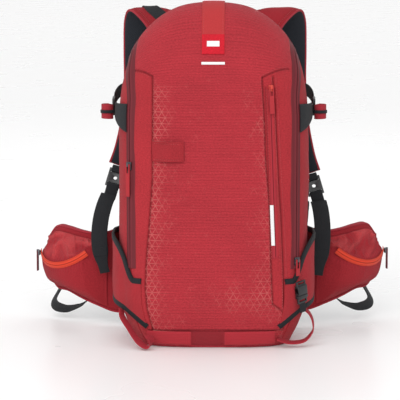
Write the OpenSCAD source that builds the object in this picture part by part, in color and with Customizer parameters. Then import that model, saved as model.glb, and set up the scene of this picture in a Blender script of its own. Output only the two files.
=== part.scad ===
// Ski backpack of about 25 litres: a sewn bag that opens like a clamshell, a moulded back,
// shoulder straps, a two-wing hip belt with zipped pockets, and ski and axe attachments.
// Frame: +Z up, +X to the right of someone who looks at the front, +Y towards the wearer.
// The origin is the middle of the base panel's lower face. Lengths are in millimetres.

/* [Bag] */
// Height of the filled bag
bag_height = 520; // [500:1:550]
// Width at the widest point
bag_width = 292; // [280:1:304]
// From the middle plane to the front face
front_reach = 96; // [92:1:100]
// From the middle plane to the back fabric
back_reach = 94; // [92:1:98]
// Thickness of the lined fabric
skin_t = 2.5; // [2:0.5:3]
// Height of the line that the front panel folds down on
hinge_z = 122; // [118:1:126]

/* [Zips] */
// Width of one half of the main zip's tape
tape_w = 6; // [5:0.5:7]
// Height of the slider on the left half of the main zip
left_slider_z = 278; // [260:1:300]
// Height of the slider on the right half of the main zip
right_slider_z = 134; // [132:1:160]

/* [Straps] */
// Width of a shoulder strap
shoulder_w = 64; // [56:1:68]
// Thickness of a shoulder strap's foam
shoulder_t = 10; // [8:1:12]
// Width of the adjusting webbing
webbing_w = 20; // [18:1:22]
// Thickness of webbing
webbing_t = 1.6; // [1.2:0.1:2]

/* [Hip belt] */
// Radius of the arc that a wing bends along
wing_r = 180; // [176:1:182]
// Angle that a wing covers
wing_arc = 62; // [58:1:64]
// Thickness of a wing's foam
wing_t = 10; // [8:1:11]

/* [Hidden] */

RED = [0.62, 0.11, 0.13];
DEEP_RED = [0.48, 0.07, 0.08];
MAROON = [0.24, 0.10, 0.13];
BLACK = [0.06, 0.06, 0.07];
ORANGE = [0.80, 0.16, 0.09];
GREY = [0.45, 0.46, 0.48];
LEFT = -1;
RIGHT = 1;

half_w = bag_width / 2;
spine_y = -8;                        // the plane where the front and back halves of the side meet
dome_z = bag_height - 151;           // the rounded top starts here
dome_h = bag_height - dome_z;
foot_z = 90;                         // the walls draw in below this height
foot_in = 30;
foot_front_in = 26;
foot_back_in = 6;
lean_z = 350;                        // and lean in above this height
top_in = 24;
wall_z = 4;                          // the walls' lower edge, just over the base panel
base_t = 3;
fan_scale = 2;                       // millimetres of travel along the profile for a degree of dome
back_u = dome_z + 180 * fan_scale;   // travel where the dome has come down to the back wall
end_u = back_u + dome_z;             // travel at the floor, behind
top_zip_u = dome_z + 112 * fan_scale;
seam = 0.4;                          // clearance between neighbouring panels
front_n = 3.2;                       // squareness of the section, front, top and back
top_n = 2.5;
back_n = 5;
zip_share = 0.85;                    // the main zip's place, as a share of the half width
top_zip_share = 0.90;
back_share = 0.93;
tape_lift = 0.3;
top_tape_lift = 0.9;                 // more over the top, where both surfaces bend two ways
tape_t = 1.6;

// ---------- Shared mathematics ----------
function mix(a, b, t) = a + (b - a) * t;
function ease(t) = let(c = min(1, max(0, t))) c * c * (3 - 2 * c);
function unit(v) = v / norm(v);
function other(share, n) = pow(max(0, 1 - pow(abs(share), n)), 1 / n);
function range(a, b, n) = [for (i = [0:n]) mix(a, b, i / n)];
function mirror_points(p, side) = [for (q = p) [side * q.x, q.y, q.z]];
function flatten(l) = [for (a = l) for (b = a) b];

// Catmull-Rom curve through hand-placed points, with n steps from each to the next
function curve_at(p, i, t) =
    let(a = p[max(i - 1, 0)], b = p[i], c = p[i + 1], d = p[min(i + 2, len(p) - 1)])
    0.5 * (2 * b + (c - a) * t + (2 * a - 5 * b + 4 * c - d) * t * t + (3 * b - a - 3 * c + d) * t * t * t);
function curve(p, n) = [for (i = [0:len(p) - 2]) for (k = [0:n - 1]) curve_at(p, i, k / n), p[len(p) - 1]];

// ---------- The bag's surface ----------
// u runs up the front in millimetres of height, over the dome, and down the back.
function fan(u) = min(180, max(0, (u - dome_z) / fan_scale));
function height(u) = u < dome_z ? u : u > back_u ? end_u - u : dome_z;
function foot(z) = z < foot_z ? pow(1 - z / foot_z, 2) : 0;
function lean(z) = z < lean_z ? 0 : top_in * pow((z - lean_z) / (bag_height - lean_z), 1.4);
function squareness(u) =
    let(b = fan(u)) b < 90 ? mix(front_n, top_n, ease(b / 90)) : mix(top_n, back_n, ease((b - 90) / 90));
function dome_reach(b) =
    let(e = b < 90 ? 2.3 : mix(2.3, 4, ease((b - 90) / 50)), r = b < 90 ? front_reach : back_reach)
    1 / pow(pow(abs(cos(b)) / r, e) + pow(sin(b) / dome_h, e), 1 / e);
function reach(u) =
    u < dome_z ? front_reach - foot_front_in * foot(u)
    : u > back_u ? back_reach - foot_back_in * foot(end_u - u) : dome_reach(fan(u));
// A point at the shares px of the half width and py of the reach, lifted off the surface by lift
function skin(u, px, py, lift) =
    let(r = (reach(u) + lift) * py, b = fan(u), z = height(u) + r * sin(b),
        w = half_w - foot_in * foot(height(u)) - lean(z) + lift)
    [w * px, spine_y - r * cos(b), z];
function skin_x(u, px, lift) = skin(u, px, other(px, squareness(u)), lift);
function skin_y(u, side, py, lift) = skin(u, side * other(py, squareness(u)), py, lift);
function edge_share(u) =
    u < dome_z ? zip_share
    : u < top_zip_u ? mix(zip_share, top_zip_share, ease((u - dome_z) / 100))
    : mix(top_zip_share, back_share, ease((u - top_zip_u) / (back_u - top_zip_u)));
function edge_y(u) = other(edge_share(u), squareness(u));

// ---------- Shared solids ----------
// A closed solid between two grids of points of the same size
module patch(outer, inner) {
    rows = len(outer);
    cols = len(outer[0]);
    i0 = floor(rows / 2) - 1 < 0 ? 0 : floor(rows / 2) - 1;
    j0 = floor(cols / 2) - 1 < 0 ? 0 : floor(cols / 2) - 1;
    facing = cross(outer[i0 + 1][j0] - outer[i0][j0], outer[i0][j0 + 1] - outer[i0][j0])
             * (outer[i0][j0] - inner[i0][j0]);
    function at(s, i, j) = (s * rows + i) * cols + j;
    function tri(a, b, c) = facing > 0 ? [a, b, c] : [a, c, b];
    function quad(a, b, c, d) = [tri(a, b, c), tri(a, c, d)];
    faces = flatten(concat(
        [for (i = [0:rows - 2]) for (j = [0:cols - 2])
            quad(at(0, i, j), at(0, i, j + 1), at(0, i + 1, j + 1), at(0, i + 1, j))],
        [for (i = [0:rows - 2]) for (j = [0:cols - 2])
            quad(at(1, i, j), at(1, i + 1, j), at(1, i + 1, j + 1), at(1, i, j + 1))],
        [for (i = [0:rows - 2]) quad(at(0, i, 0), at(0, i + 1, 0), at(1, i + 1, 0), at(1, i, 0))],
        [for (i = [0:rows - 2])
            quad(at(0, i + 1, cols - 1), at(0, i, cols - 1), at(1, i, cols - 1), at(1, i + 1, cols - 1))],
        [for (j = [0:cols - 2]) quad(at(0, 0, j + 1), at(0, 0, j), at(1, 0, j), at(1, 0, j + 1))],
        [for (j = [0:cols - 2])
            quad(at(0, rows - 1, j), at(0, rows - 1, j + 1), at(1, rows - 1, j + 1), at(1, rows - 1, j))]));
    polyhedron(points = concat(flatten(outer), flatten(inner)), faces = faces);
}

// A flat band along a path. across gives the direction of its width at each point.
module ribbon(path, across, width, thick) {
    last = len(path) - 1;
    normal = [for (i = [0:last])
        unit(cross(path[min(i + 1, last)] - path[max(i - 1, 0)], across[i]))];
    wide = [for (i = [0:last]) is_list(width) ? width[i] : width];
    patch([for (i = [0:last]) [for (s = [-1, 1]) path[i] + unit(across[i]) * s * wide[i] / 2 + normal[i] * thick / 2]],
          [for (i = [0:last]) [for (s = [-1, 1]) path[i] + unit(across[i]) * s * wide[i] / 2 - normal[i] * thick / 2]]);
}
function same(v, path) = [for (p = path) v];

// Moves a piece drawn at the origin: its x runs along one direction and its z faces another
module place(at, along, facing) {
    x = unit(along);
    y = unit(cross(facing, x));
    z = cross(x, y);
    multmatrix([[x.x, y.x, z.x, at.x], [x.y, y.y, z.y, at.y], [x.z, y.z, z.z, at.z]]) children();
}

// ---------- Bag ----------
front_rows = concat(range(hinge_z + seam, dome_z - 6, 6), range(dome_z, top_zip_u, 14));
side_rows = concat(range(wall_z, hinge_z, 6), range(hinge_z + 30, dome_z - 10, 6), range(dome_z, back_u, 22),
                   range(back_u + 30, end_u - foot_z, 5), range(end_u - 72, end_u - wall_z, 4));
back_rows = concat(range(top_zip_u + 2 * seam, back_u, 9), range(back_u + 30, end_u - foot_z, 5),
                   range(end_u - 72, end_u - wall_z, 4));

module bag_panel(rows, cols) {
    function row(u, lift) = [for (c = cols) skin_x(u, c * (edge_share(u) - 0.004), lift)];
    patch([for (u = rows) row(u, 0)], [for (u = rows) row(u, -skin_t)]);
}
module base_panel() {
    color(RED) linear_extrude(base_t) hull()
        for (x = [-76, 76]) for (y = [-40, 38]) translate([x, y]) circle(38, $fn = 32);
}
module lower_front_panel() {
    color(RED) bag_panel(range(wall_z, hinge_z - seam, 6), range(-1, 1, 18));
}
module back_fabric_panel() {
    color(BLACK) bag_panel(back_rows, range(-1, 1, 12));
}
module side_gusset(side) {
    function row(u, lift) =
        [for (s = range(0.004, edge_y(u) - 0.006, 7)) skin_y(u, side, s, lift)];
    color(RED) patch([for (u = side_rows) row(u, 0)], [for (u = side_rows) row(u, -skin_t)]);
}
module front_shell() {
    color(RED) bag_panel(front_rows, range(-1, 1, 18));
}

// ---------- Back and frame ----------
back_y = spine_y + back_reach;
pad_gap = 0.5;
module back_pad(x, z, w, h, t) {
    translate([x, back_y + pad_gap, z]) rotate([-90, 0, 0]) hull() {
        linear_extrude(1) square([w, h], center = true);
        linear_extrude(t) square([w - 16, h - 16], center = true);
    }
}
module back_pads() {
    color(BLACK) {
        for (s = [LEFT, RIGHT]) {
            back_pad(s * 56, 345, 66, 120, 12);
            back_pad(s * 56, 225, 66, 100, 12);
        }
        back_pad(0, 112, 168, 104, 16);
    }
}
module frame_sheet() {
    color(GREY) translate([-98, 74, 32]) cube([196, 1.5, 392]);
}
module frame_stays() {
    color(GREY) for (s = [LEFT, RIGHT]) translate([s * 50 - 6, 70.5, 30]) cube([12, 3, 380]);
}
module tool_divider() {
    color(GREY) translate([-98, 40, 20]) cube([196, 1, 340]);
}
haul_points = [[-21, back_y + 8.5, 446], [-22, back_y + 10, 472], [-15, back_y + 14, 496], [0, back_y + 16, 504]];
module haul_loop() {
    half = curve(haul_points, 4);
    path = concat(half, [for (i = [len(half) - 2:-1:0]) [-half[i].x, half[i].y, half[i].z]]);
    color(BLACK) ribbon(path, same([0, 1, -0.2], path), 14, 2.4);
}

// ---------- Main zip ----------
// Distances inner and outer run from the zip's line, towards the front panel where positive
module zip_side(side, inner, outer) {
    function at(u, d, lift) = skin_x(u, side * (edge_share(u) - d / half_w), lift);
    patch([for (u = front_rows) [for (d = [inner, outer]) at(u, d, tape_lift + tape_t)]],
          [for (u = front_rows) [for (d = [inner, outer]) at(u, d, tape_lift)]]);
}
zip_corner = 0.055;                  // the top stretch stops this share of the width short of the sides
module zip_top(inner, outer) {
    rows = [top_zip_u - inner, top_zip_u - outer];
    function row(u, lift) = [for (c = range(-1, 1, 12)) skin_x(u, c * (edge_share(u) - zip_corner), lift)];
    patch([for (u = rows) row(u, top_tape_lift + tape_t)], [for (u = rows) row(u, top_tape_lift)]);
}
module main_zip_front_tape() {
    color(MAROON) {
        for (s = [LEFT, RIGHT]) zip_side(s, seam, tape_w);
        zip_top(seam, tape_w);
    }
}
module main_zip_rear_tape() {
    color(MAROON) {
        for (s = [LEFT, RIGHT]) zip_side(s, -tape_w / 2, -seam);
        zip_top(-tape_w, -seam);
    }
}

// ---------- Sliders and pulls ----------
// Drawn lying on the zip: x down the zip, y across it, z away from the bag
slider_lift = tape_lift + tape_t + 0.5;
pin_z = slider_lift + 4;
module slider_body(w, h) {
    difference() {
        union() {
            translate([-h / 2, -w / 2, slider_lift]) cube([h, w, 2.6]);
            translate([-5, -1.8, slider_lift + 2.2]) cube([6, 3.6, 3.2]);
        }
        translate([-2, -5, pin_z]) rotate([-90, 0, 0]) cylinder(h = 10, r = 0.9, $fn = 24);
    }
}
module slider_pull(w, h) {
    translate([-2, -2.6, pin_z]) rotate([-90, 0, 0]) cylinder(h = 5.2, r = 0.7, $fn = 24);
    for (s = [LEFT, RIGHT]) translate([-2.9, s * 2.7 - 0.7, pin_z - 0.9]) cube([14.9, 1.4, 1.8]);
    translate([11, -w / 2, pin_z - 0.9]) cube([h - 11, w, 1.8]);
}
down = [0, 0, -1];
zip_x = zip_share * half_w;
zip_y = spine_y - front_reach * other(zip_share, front_n);
function zip_face(side) = [side * 0.65, -0.76, 0];
module main_slider(side, z) {
    color(GREY) place([side * zip_x, zip_y, z], down, zip_face(side)) slider_body(9, 12);
}
module main_pull(side, z, length) {
    color(RED) place([side * zip_x, zip_y, z], down, zip_face(side)) slider_pull(6.8, length);
}
left_pull = 46;
right_pull = 22;

// ---------- Front panel's fittings ----------
strip_w = 34;
strip_u = 452;
module centre_strip() {
    function row(u, lift) = [for (x = [-1, 0, 1]) skin_x(u, x * strip_w / bag_width, lift)];
    rows = range(strip_u, top_zip_u - 14, 14);
    color(RED) patch([for (u = rows) row(u, 1.4)], [for (u = rows) row(u, 0.3)]);
}
pocket_top = 400;
pocket_low = 140;
pocket_lean = 0.038;                 // sideways travel of the pocket's zip for each millimetre down
pocket_x = 84;
pocket_slider_z = 396;
pocket_zip_w = 12;
function pocket_at(z) = pocket_x + (pocket_top - z) * pocket_lean;
function pocket_share(z, x) = (pocket_at(z) + x) / (half_w - lean(z));
module front_pocket_zip() {
    rows = range(pocket_low, pocket_top, 12);
    function row(z, lift) =
        [for (x = [-1, 1]) skin_x(z, pocket_share(z, x * pocket_zip_w / 2), lift)];
    color(DEEP_RED) patch([for (z = rows) row(z, 1.5)], [for (z = rows) row(z, 0.3)]);
}
pocket_slider_lift = 0.8;             // room for the whole travel over a zip that is not quite straight
module on_pocket_zip(z) {
    p = skin_x(z, pocket_share(z, 0), pocket_slider_lift);
    place([p.x, p.y, z], [pocket_lean, 0.007, -1], [0.27, -1, 0]) children();
}
module front_pocket_slider() {
    color(ORANGE) on_pocket_zip(pocket_slider_z) slider_body(7, 9);
}
module front_pocket_pull() {
    color(ORANGE) on_pocket_zip(pocket_slider_z) slider_pull(6.8, 38);
}
keeper_x = [-90, -42];
module axe_shaft_keeper() {
    function bulge(x) = 1.4 + 6.5 * ease((x + 90) / 30) * (1 - 0.55 * ease((x + 62) / 20));
    function row(u, lift) = [for (x = range(keeper_x[0], keeper_x[1], 6)) skin_x(u, x / half_w, lift + bulge(x))];
    rows = range(287, 316, 3);
    color(RED) patch([for (u = rows) row(u, 1.4)], [for (u = rows) row(u, 0)]);
}

// ---------- Base webbing and axe loops ----------
module base_webbing() {
    function off(x) = abs(x) < 23 ? 1.2 : 2.2;
    xs = [-92, -80, -60, -40, -24, -22, -10, 0, 10, 20, 22, 24, 40, 60, 80, 92];
    function row(z, lift) = [for (x = xs) skin_x(z, x / half_w, off(x) + lift)];
    rows = range(6, 26, 4);
    color(RED) patch([for (z = rows) row(z, 1.4)], [for (z = rows) row(z, -0.9)]);
}
axe_right_points = [[98, -79, 14], [116, -80, 9], [138, -76, 11], [151, -68, 24], [152, -62, 38], [147, -61, 50],
                    [140, -63, 57]];
module axe_loop_right() {
    path = curve(axe_right_points, 4);
    color(DEEP_RED) ribbon(path, same([0.1, 1, 0.25], path), 12, 1.8);
}
axe_left_points = [[-140, -66, 57], [-138, -72, 46], [-128, -82, 32], [-118, -90, 18], [-108, -99, 9],
                   [-98, -103, 6], [-94, -98, 14], [-98, -90, 20]];
module axe_loop_left() {
    path = curve(axe_left_points, 4);
    color(DEEP_RED) ribbon(path, same([0.45, 1, 0.4], path), 12, 1.8);
}

// ---------- Ski loops ----------
// A band from the front seam, where t is 0, round the side to the back corner, where t is 1
band_t = 2;
band_front = 0.735;                  // share of the half width where the band starts
band_turn = 0.985;                   // and where it has come round to the side
band_end = 0.68;                     // share of the back's reach where it ends
function band_low(t) = 33 + 52 * sin(90 * t);
function band_high(t) = 104 + 62 * ease((t - 0.14) / 0.36);
function band_lift(t) = 0.5 + 7 * ease((t - 0.3) / 0.2) * ease((1 - t) / 0.25);
function band_point(side, t, k, lift) =
    let(z = mix(band_low(t), band_high(t), k), off = lift + band_lift(t), turn = other(band_turn, front_n))
    t < 0.45 ? skin_x(z, side * mix(band_front, band_turn, t / 0.45), off)
    : t < 0.62 ? skin_y(z, side, mix(turn, 0.02, (t - 0.45) / 0.17), off)
    : skin_y(end_u - z, side, mix(0.02, band_end, (t - 0.62) / 0.38), off);
module ski_loop(side) {
    function row(t, lift) = [for (k = range(0, 1, 4)) band_point(side, t, k, lift)];
    ts = range(0, 1, 24);
    color(RED) patch([for (t = ts) row(t, band_t)], [for (t = ts) row(t, 0)]);
}

// ---------- Buckles ----------
// Drawn flat: the plug leaves along x, y is across the webbing, and the two halves part at x = 0
bar_t = 3;
module webbing_bar(x, w, length) {
    difference() {
        translate([x, -w / 2 - 2.5, -bar_t / 2]) cube([length, w + 5, bar_t]);
        translate([x + 2.4, -w / 2, -bar_t]) cube([2.6, w, 2 * bar_t]);
    }
}
module buckle_socket(w, t) {
    l = w * 0.95;
    difference() {
        translate([-l, -w / 2 - 2.5, -t / 2]) cube([l, w + 5, t]);
        translate([-l + 2, -w / 2 + 0.5, -t / 2 + 1.5]) cube([l, w - 1, t - 3]);
        for (s = [LEFT, RIGHT])
            translate([-l * 0.62, s * (w / 2 + 1.5) - 2.5, -t / 2 + 1.5]) cube([l * 0.36, 5, t - 3]);
    }
    webbing_bar(-l - 7, w, 7.1);
}
module buckle_plug(w, t) {
    l = w * 0.95;
    rib = t - 4;
    translate([0.4, -w / 2 - 2.5, -t / 2]) cube([5, w + 5, t]);
    webbing_bar(5.3, w, 8);
    for (s = [LEFT, RIGHT])
        translate([-l * 0.6, s * (w / 2 - 2.6) - 1.4, -rib / 2]) cube([l * 0.6 + 0.5, 2.8, rib]);
    translate([-l * 0.5, -1.3, -rib / 2]) cube([l * 0.5 + 0.5, 2.6, rib]);
}
ski_buckle_w = 15;
ski_buckle_z = 83;
ski_way = [0.10, 0.10, -1];
ski_face = [0.72, -0.69, 0];
module on_ski_buckle() {
    place(skin_x(ski_buckle_z, 0.875, 7.2), ski_way, ski_face) children();
}
module ski_buckle_socket() {
    color(BLACK) on_ski_buckle() buckle_socket(ski_buckle_w, 8);
}
module ski_buckle_plug() {
    color(BLACK) on_ski_buckle() buckle_plug(ski_buckle_w, 8);
}
module ski_webbing() {
    color(BLACK) on_ski_buckle() translate([13.6, -6.5, -0.8]) cube([14, 13, webbing_t]);
}

// ---------- Compression straps ----------
lock_l = 18;
module ladder_lock(w) {
    difference() {
        translate([-lock_l / 2, -w / 2 - 3, -2]) cube([lock_l, w + 6, 4]);
        for (x = [-5.4, 2.4]) translate([x, -w / 2, -3]) cube([3, w, 6]);
    }
}
module compression_tab(side) {
    function at(t, k, lift) =
        let(z = mix(mix(328, 372, k), mix(353, 371, k), t), s = mix(edge_y(340) - 0.05, 0.04, t))
        skin_y(z, side, s, lift + 0.5 + 3 * ease(t));
    patch([for (t = range(0, 1, 8)) [for (k = [0, 1]) at(t, k, 2)]],
          [for (t = range(0, 1, 8)) [for (k = [0, 1]) at(t, k, 0)]]);
}
module compression_tabs() {
    color(BLACK) for (s = [LEFT, RIGHT]) compression_tab(s);
}
lock_at = [154, 6, 362];
compression_points = [[137, 78, 386], [148, 58, 381], [153.5, 38, 373], [154, 16.5, 365]];
module compression_webbings() {
    color(BLACK) for (s = [LEFT, RIGHT]) {
        path = curve(mirror_points(compression_points, s), 4);
        ribbon(path, same([0, -0.2, 1], path), webbing_w, webbing_t);
    }
}
module compression_ladderlocks() {
    color(BLACK) for (s = [LEFT, RIGHT])
        place([s * lock_at.x, lock_at.y, lock_at.z], [0, -1, -0.2], [s, 0, 0]) ladder_lock(webbing_w);
}
roll_r = 8.5;
module compression_tails() {
    color(DEEP_RED) for (s = [LEFT, RIGHT]) translate([s * 162.5, -13.5, 345])
        cylinder(h = webbing_w, r = roll_r, $fn = 40);
}

// ---------- Shoulder straps ----------
strap_points = [[60, 92.5, 428], [64, 98, 458], [77, 112, 486], [104, 140, 505], [115, 165, 486],
                [116, 176, 440], [118, 178, 386], [126, 170, 328], [138, 154, 282], [149, 140, 254]];
adjuster_z = [236, 224];             // the left adjuster and the right one
function strap_drop(side) = side == LEFT ? 0 : adjuster_z[1] - adjuster_z[0];
function strap_path(side) =
    [for (i = [0:len(strap_points) - 1])
        let(p = strap_points[i], k = ease((i - 5) / 4)) [side * p.x, p.y, p.z + k * strap_drop(side)]];
strap_tilt = [[1, 0, -0.05], [1, 0, -0.1], [1, 0.1, -0.1], [1, 0.35, 0], [1, 0.35, 0.15],
              [1, 0.2, 0.1], [1, 0.15, 0.05], [1, 0.1, 0.1], [1, 0, 0.25], [1, -0.1, 0.35]];
module shoulder_strap(side) {
    path = curve(strap_path(side), 4);
    across = curve([for (v = strap_tilt) [v.x, side * v.y, side * v.z]], 4);
    last = len(path) - 1;
    width = [for (i = [0:last]) mix(shoulder_w, 42, ease((i / last - 0.5) / 0.5))];
    color(RED) ribbon(path, across, width, shoulder_t);
}
module on_adjuster(side) {
    z = side == LEFT ? adjuster_z[0] : adjuster_z[1];
    place([side * 160, 128, z], [side * 0.3, -0.35, -1], [0, -1, 0.3]) children();
}
module strap_adjuster(side) {
    color(BLACK) on_adjuster(side) difference() {
        translate([-15, -13, -2.5]) cube([30, 26, 5]);
        for (x = [-11, 8]) translate([x, -10.2, -4]) cube([3, 20.4, 8]);
        translate([0, 0, -4]) cylinder(h = 8, r = 3, $fn = 32);
    }
}
tail_t = 5;
left_tail = [[170, 116, 211], [176, 100, 196], [181, 84, 174], [183, 76, 146], [180, 74, 116], [174, 76, 90]];
right_tail = [[167, 113, 201], [170, 98, 188], [172, 83, 168], [172, 76, 142], [169, 74, 114], [165, 76, 87]];
module strap_tail(side) {
    path = curve(side == LEFT ? mirror_points(left_tail, LEFT) : right_tail, 4);
    color(BLACK) ribbon(path, same([1, side * 0.12, side * 0.1], path), 26, tail_t);
}
anchor_points = [[147, 120, 204], [146, 106, 190], [145, 93, 172], [144, 84, 148], [143, 78, 122], [143, 74, 98]];
anchor_lift = adjuster_z[0] - adjuster_z[1];
module anchor_webbing(side) {
    last = len(anchor_points) - 1;
    path = curve([for (i = [0:last])
        let(p = anchor_points[i]) [side * p.x, p.y, p.z + (side == LEFT ? anchor_lift : 0) * (1 - ease(i / last))]], 4);
    color(BLACK) ribbon(path, same([side * 0.35, 1, 0.3], path), webbing_w, webbing_t);
}

// ---------- Chest strap ----------
chest_x = 116;
chest_y = 189;
chest_z = 374;
chest_drop = 72;
chest_w = 16;
module chest_webbing(side) {
    color(BLACK) translate([side * chest_x - chest_w / 2, chest_y - webbing_t / 2, chest_z - chest_drop])
        cube([chest_w, webbing_t, chest_drop + 8]);
}
module chest_buckle_socket() {
    color(BLACK) place([-chest_x, chest_y, chest_z - chest_drop - 22.6], down, [0, 1, 0])
        buckle_socket(chest_w, 7);
}
module chest_buckle_plug() {
    color(BLACK) place([chest_x, chest_y, chest_z - chest_drop - 13.7], [0, 0, 1], [0, 1, 0])
        buckle_plug(chest_w, 7);
}

// ---------- Hip belt ----------
// A wing bends along an arc about a vertical line; a is the angle along it and out the way off its face
wing_x = 108;
wing_y = back_y + 8;
wing_root = -5;
wing_top = [188, 178, 160, 153, 155, 159, 158, 138];
wing_low = [30, 28, 28, 37, 46, 55, 57, 76];
left_belt = [-9, 0, -5];             // the left half of the belt is sewn on a little further out and lower
module belt_half(side) {
    translate(side == LEFT ? left_belt : [0, 0, 0]) children();
}
function wing_at(side, a, out, z) =
    [side * (wing_x + (wing_r + out) * sin(a)), wing_y + wing_r - (wing_r + out) * cos(a), z];
function along(list, a) =
    let(f = max(0, (a - wing_root) / (wing_arc - wing_root)) * (len(list) - 1),
        i = min(len(list) - 2, floor(f))) curve_at(list, i, f - i);
module hip_wing(side) {
    function row(a, out) =
        [for (k = range(0, 1, 4)) wing_at(side, a, out, mix(along(wing_low, a), along(wing_top, a), k))];
    angles = range(wing_root, wing_arc, 20);
    color(DEEP_RED) belt_half(side)
        patch([for (a = angles) row(a, 0)], [for (a = angles) row(a, -wing_t)]);
}

// The pocket's zip lies on a tilted circle, so its slider swings about the circle's axis
arc_centre = [216, 155, 152];
arc_r = 72;
arc_mid = 49;                        // where the circle is lowest, measured from -y towards +x
arc_tilt = 46;
arc_from = -58;
arc_to = 46;
slider_at = 42;
function arc_out(d) =
    let(m = cos(d), t = sin(d))
    [sin(arc_mid) * cos(arc_tilt) * m + cos(arc_mid) * t, -cos(arc_mid) * cos(arc_tilt) * m + sin(arc_mid) * t,
     -sin(arc_tilt) * m];
arc_lean = tan(arc_tilt) * cos(slider_at);   // keeps the tape flat under the slider, which hangs upright
arc_axis = [sin(arc_mid) * sin(arc_tilt), -cos(arc_mid) * sin(arc_tilt), cos(arc_tilt)];
function arc_point(side, d, r) =
    let(p = arc_centre + arc_out(d) * r) [side * p.x, p.y, p.z];
pocket_inner = 2.6;                  // the pocket's fabric lies this far inside the zip's circle
pocket_from = 18;
pocket_to = 60.5;
face_gap = 0.4;
edge_t = 3;
// One section of the pocket, from its lower edge over the zip to its upper edge
function pocket_section(side, s) =
    let(a = mix(pocket_from, pocket_to, s), d = mix(arc_from - 4, arc_to + 3, s),
        low = wing_at(side, a, edge_t, along(wing_low, a) + 5),
        high = wing_at(side, a, edge_t, along(wing_top, a) - 9),
        zip = arc_point(side, d, arc_r - pocket_inner),
        flat = wing_at(side, a, edge_t + 2, zip.z),
        full = ease(s / 0.09) * ease((1 - s) / 0.07),
        crest = mix(flat, zip, full),
        belly = [mix(low.x, crest.x, 0.86), mix(low.y, crest.y, 0.86), mix(low.z, crest.z, 0.36)],
        brow = mix(crest, high, 0.5) + [0, -2, 4] * full)
    curve([low, belly, crest, brow, high], 3);
module belt_pocket(side) {
    steps = range(0, 1, 18);
    outer = [for (s = steps) pocket_section(side, s)];
    inner = [for (i = [0:len(steps) - 1])
        let(row = outer[i], last = len(row) - 1, a = mix(pocket_from, pocket_to, steps[i]))
        [for (k = [0:last]) wing_at(side, a, face_gap, mix(row[0].z, row[last].z, k / last))]];
    color(RED) belt_half(side) patch(outer, inner);
}
module belt_pocket_zip(side) {
    d = range(arc_from, arc_to, 28);
    path = [for (e = d) arc_point(side, e, arc_r)];
    across = [for (e = d) let(v = arc_axis - arc_lean * arc_out(e)) [side * v.x, v.y, v.z]];
    color(ORANGE) belt_half(side) ribbon(path, across, 9, 1.4);
}
module on_belt_zip(side) {
    out = arc_out(slider_at);
    belt_half(side) place(arc_point(side, slider_at, arc_r - 0.3), down, [side * out.x, out.y, 0]) children();
}
module belt_pocket_slider(side) {
    color(BLACK) on_belt_zip(side) slider_body(8, 8);
}
module belt_pocket_pull(side) {
    color(BLACK) on_belt_zip(side) slider_pull(6.8, 30);
}
loop_points = [[228, 206, 96], [234, 203, 74], [247, 192, 50], [256, 176, 33], [250, 160, 26], [232, 146, 25],
               [210, 138, 32], [194, 137, 43], [186, 140, 52]];
module belt_webbing(side) {
    path = curve(mirror_points(loop_points, side), 4);
    color(BLACK) belt_half(side) ribbon(path, same([side * 0.35, 1, -0.4], path), 18, webbing_t);
}
belt_buckle_w = 25;
module belt_buckle_socket() {
    color(BLACK) belt_half(LEFT) place([-166, 130, 91], [0.5, 0, 1], [0.3, 1, 0]) buckle_socket(belt_buckle_w, 9);
}
module belt_buckle_plug() {
    color(BLACK) place([172, 130, 80], [0.5, 0, -1], [-0.3, 1, 0]) buckle_plug(belt_buckle_w, 9);
}

base_panel();
lower_front_panel();
side_gusset(LEFT);  // side_gusset_left
side_gusset(RIGHT);  // side_gusset_right
back_fabric_panel();
back_pads();
frame_sheet();
frame_stays();
tool_divider();
main_zip_rear_tape();
compression_tabs();
compression_webbings();
compression_ladderlocks();
compression_tails();
ski_loop(LEFT);  // ski_loop_left
ski_loop(RIGHT);  // ski_loop_right
ski_buckle_socket();
ski_buckle_plug();
ski_webbing();
base_webbing();
axe_loop_left();
axe_loop_right();
haul_loop();
anchor_webbing(LEFT);  // anchor_webbing_left
anchor_webbing(RIGHT);  // anchor_webbing_right
front_shell();
main_zip_front_tape();
centre_strip();
front_pocket_zip();
axe_shaft_keeper();
front_pocket_slider();
front_pocket_pull();
main_slider(LEFT, left_slider_z);  // main_slider_left
main_pull(LEFT, left_slider_z, left_pull);  // main_pull_left
main_slider(RIGHT, right_slider_z);  // main_slider_right
main_pull(RIGHT, right_slider_z, right_pull);  // main_pull_right
shoulder_strap(LEFT);  // shoulder_strap_left
shoulder_strap(RIGHT);  // shoulder_strap_right
strap_adjuster(LEFT);  // strap_adjuster_left
strap_adjuster(RIGHT);  // strap_adjuster_right
strap_tail(LEFT);  // strap_tail_left
strap_tail(RIGHT);  // strap_tail_right
chest_webbing(LEFT);  // chest_webbing_left
chest_webbing(RIGHT);  // chest_webbing_right
chest_buckle_socket();
chest_buckle_plug();
hip_wing(LEFT);  // hip_wing_left
hip_wing(RIGHT);  // hip_wing_right
belt_pocket(LEFT);  // belt_pocket_left
belt_pocket(RIGHT);  // belt_pocket_right
belt_pocket_zip(LEFT);  // belt_pocket_zip_left
belt_pocket_zip(RIGHT);  // belt_pocket_zip_right
belt_pocket_slider(LEFT);  // belt_pocket_slider_left
belt_pocket_slider(RIGHT);  // belt_pocket_slider_right
belt_pocket_pull(LEFT);  // belt_pocket_pull_left
belt_pocket_pull(RIGHT);  // belt_pocket_pull_right
belt_webbing(LEFT);  // belt_webbing_left
belt_webbing(RIGHT);  // belt_webbing_right
belt_buckle_socket();
belt_buckle_plug();
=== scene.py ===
"""Ski backpack: the sewn bag, its zips, straps, belt and fittings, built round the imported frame.

Shapes are worked out in millimetres, in the frame's own axes, and become metres when a mesh is made.
+X is to the right of someone who looks at the front, +Y points to the wearer, +Z is up.
"""
import math

import bmesh
import bpy
import numpy as np
from mathutils import Matrix, Vector


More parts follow.
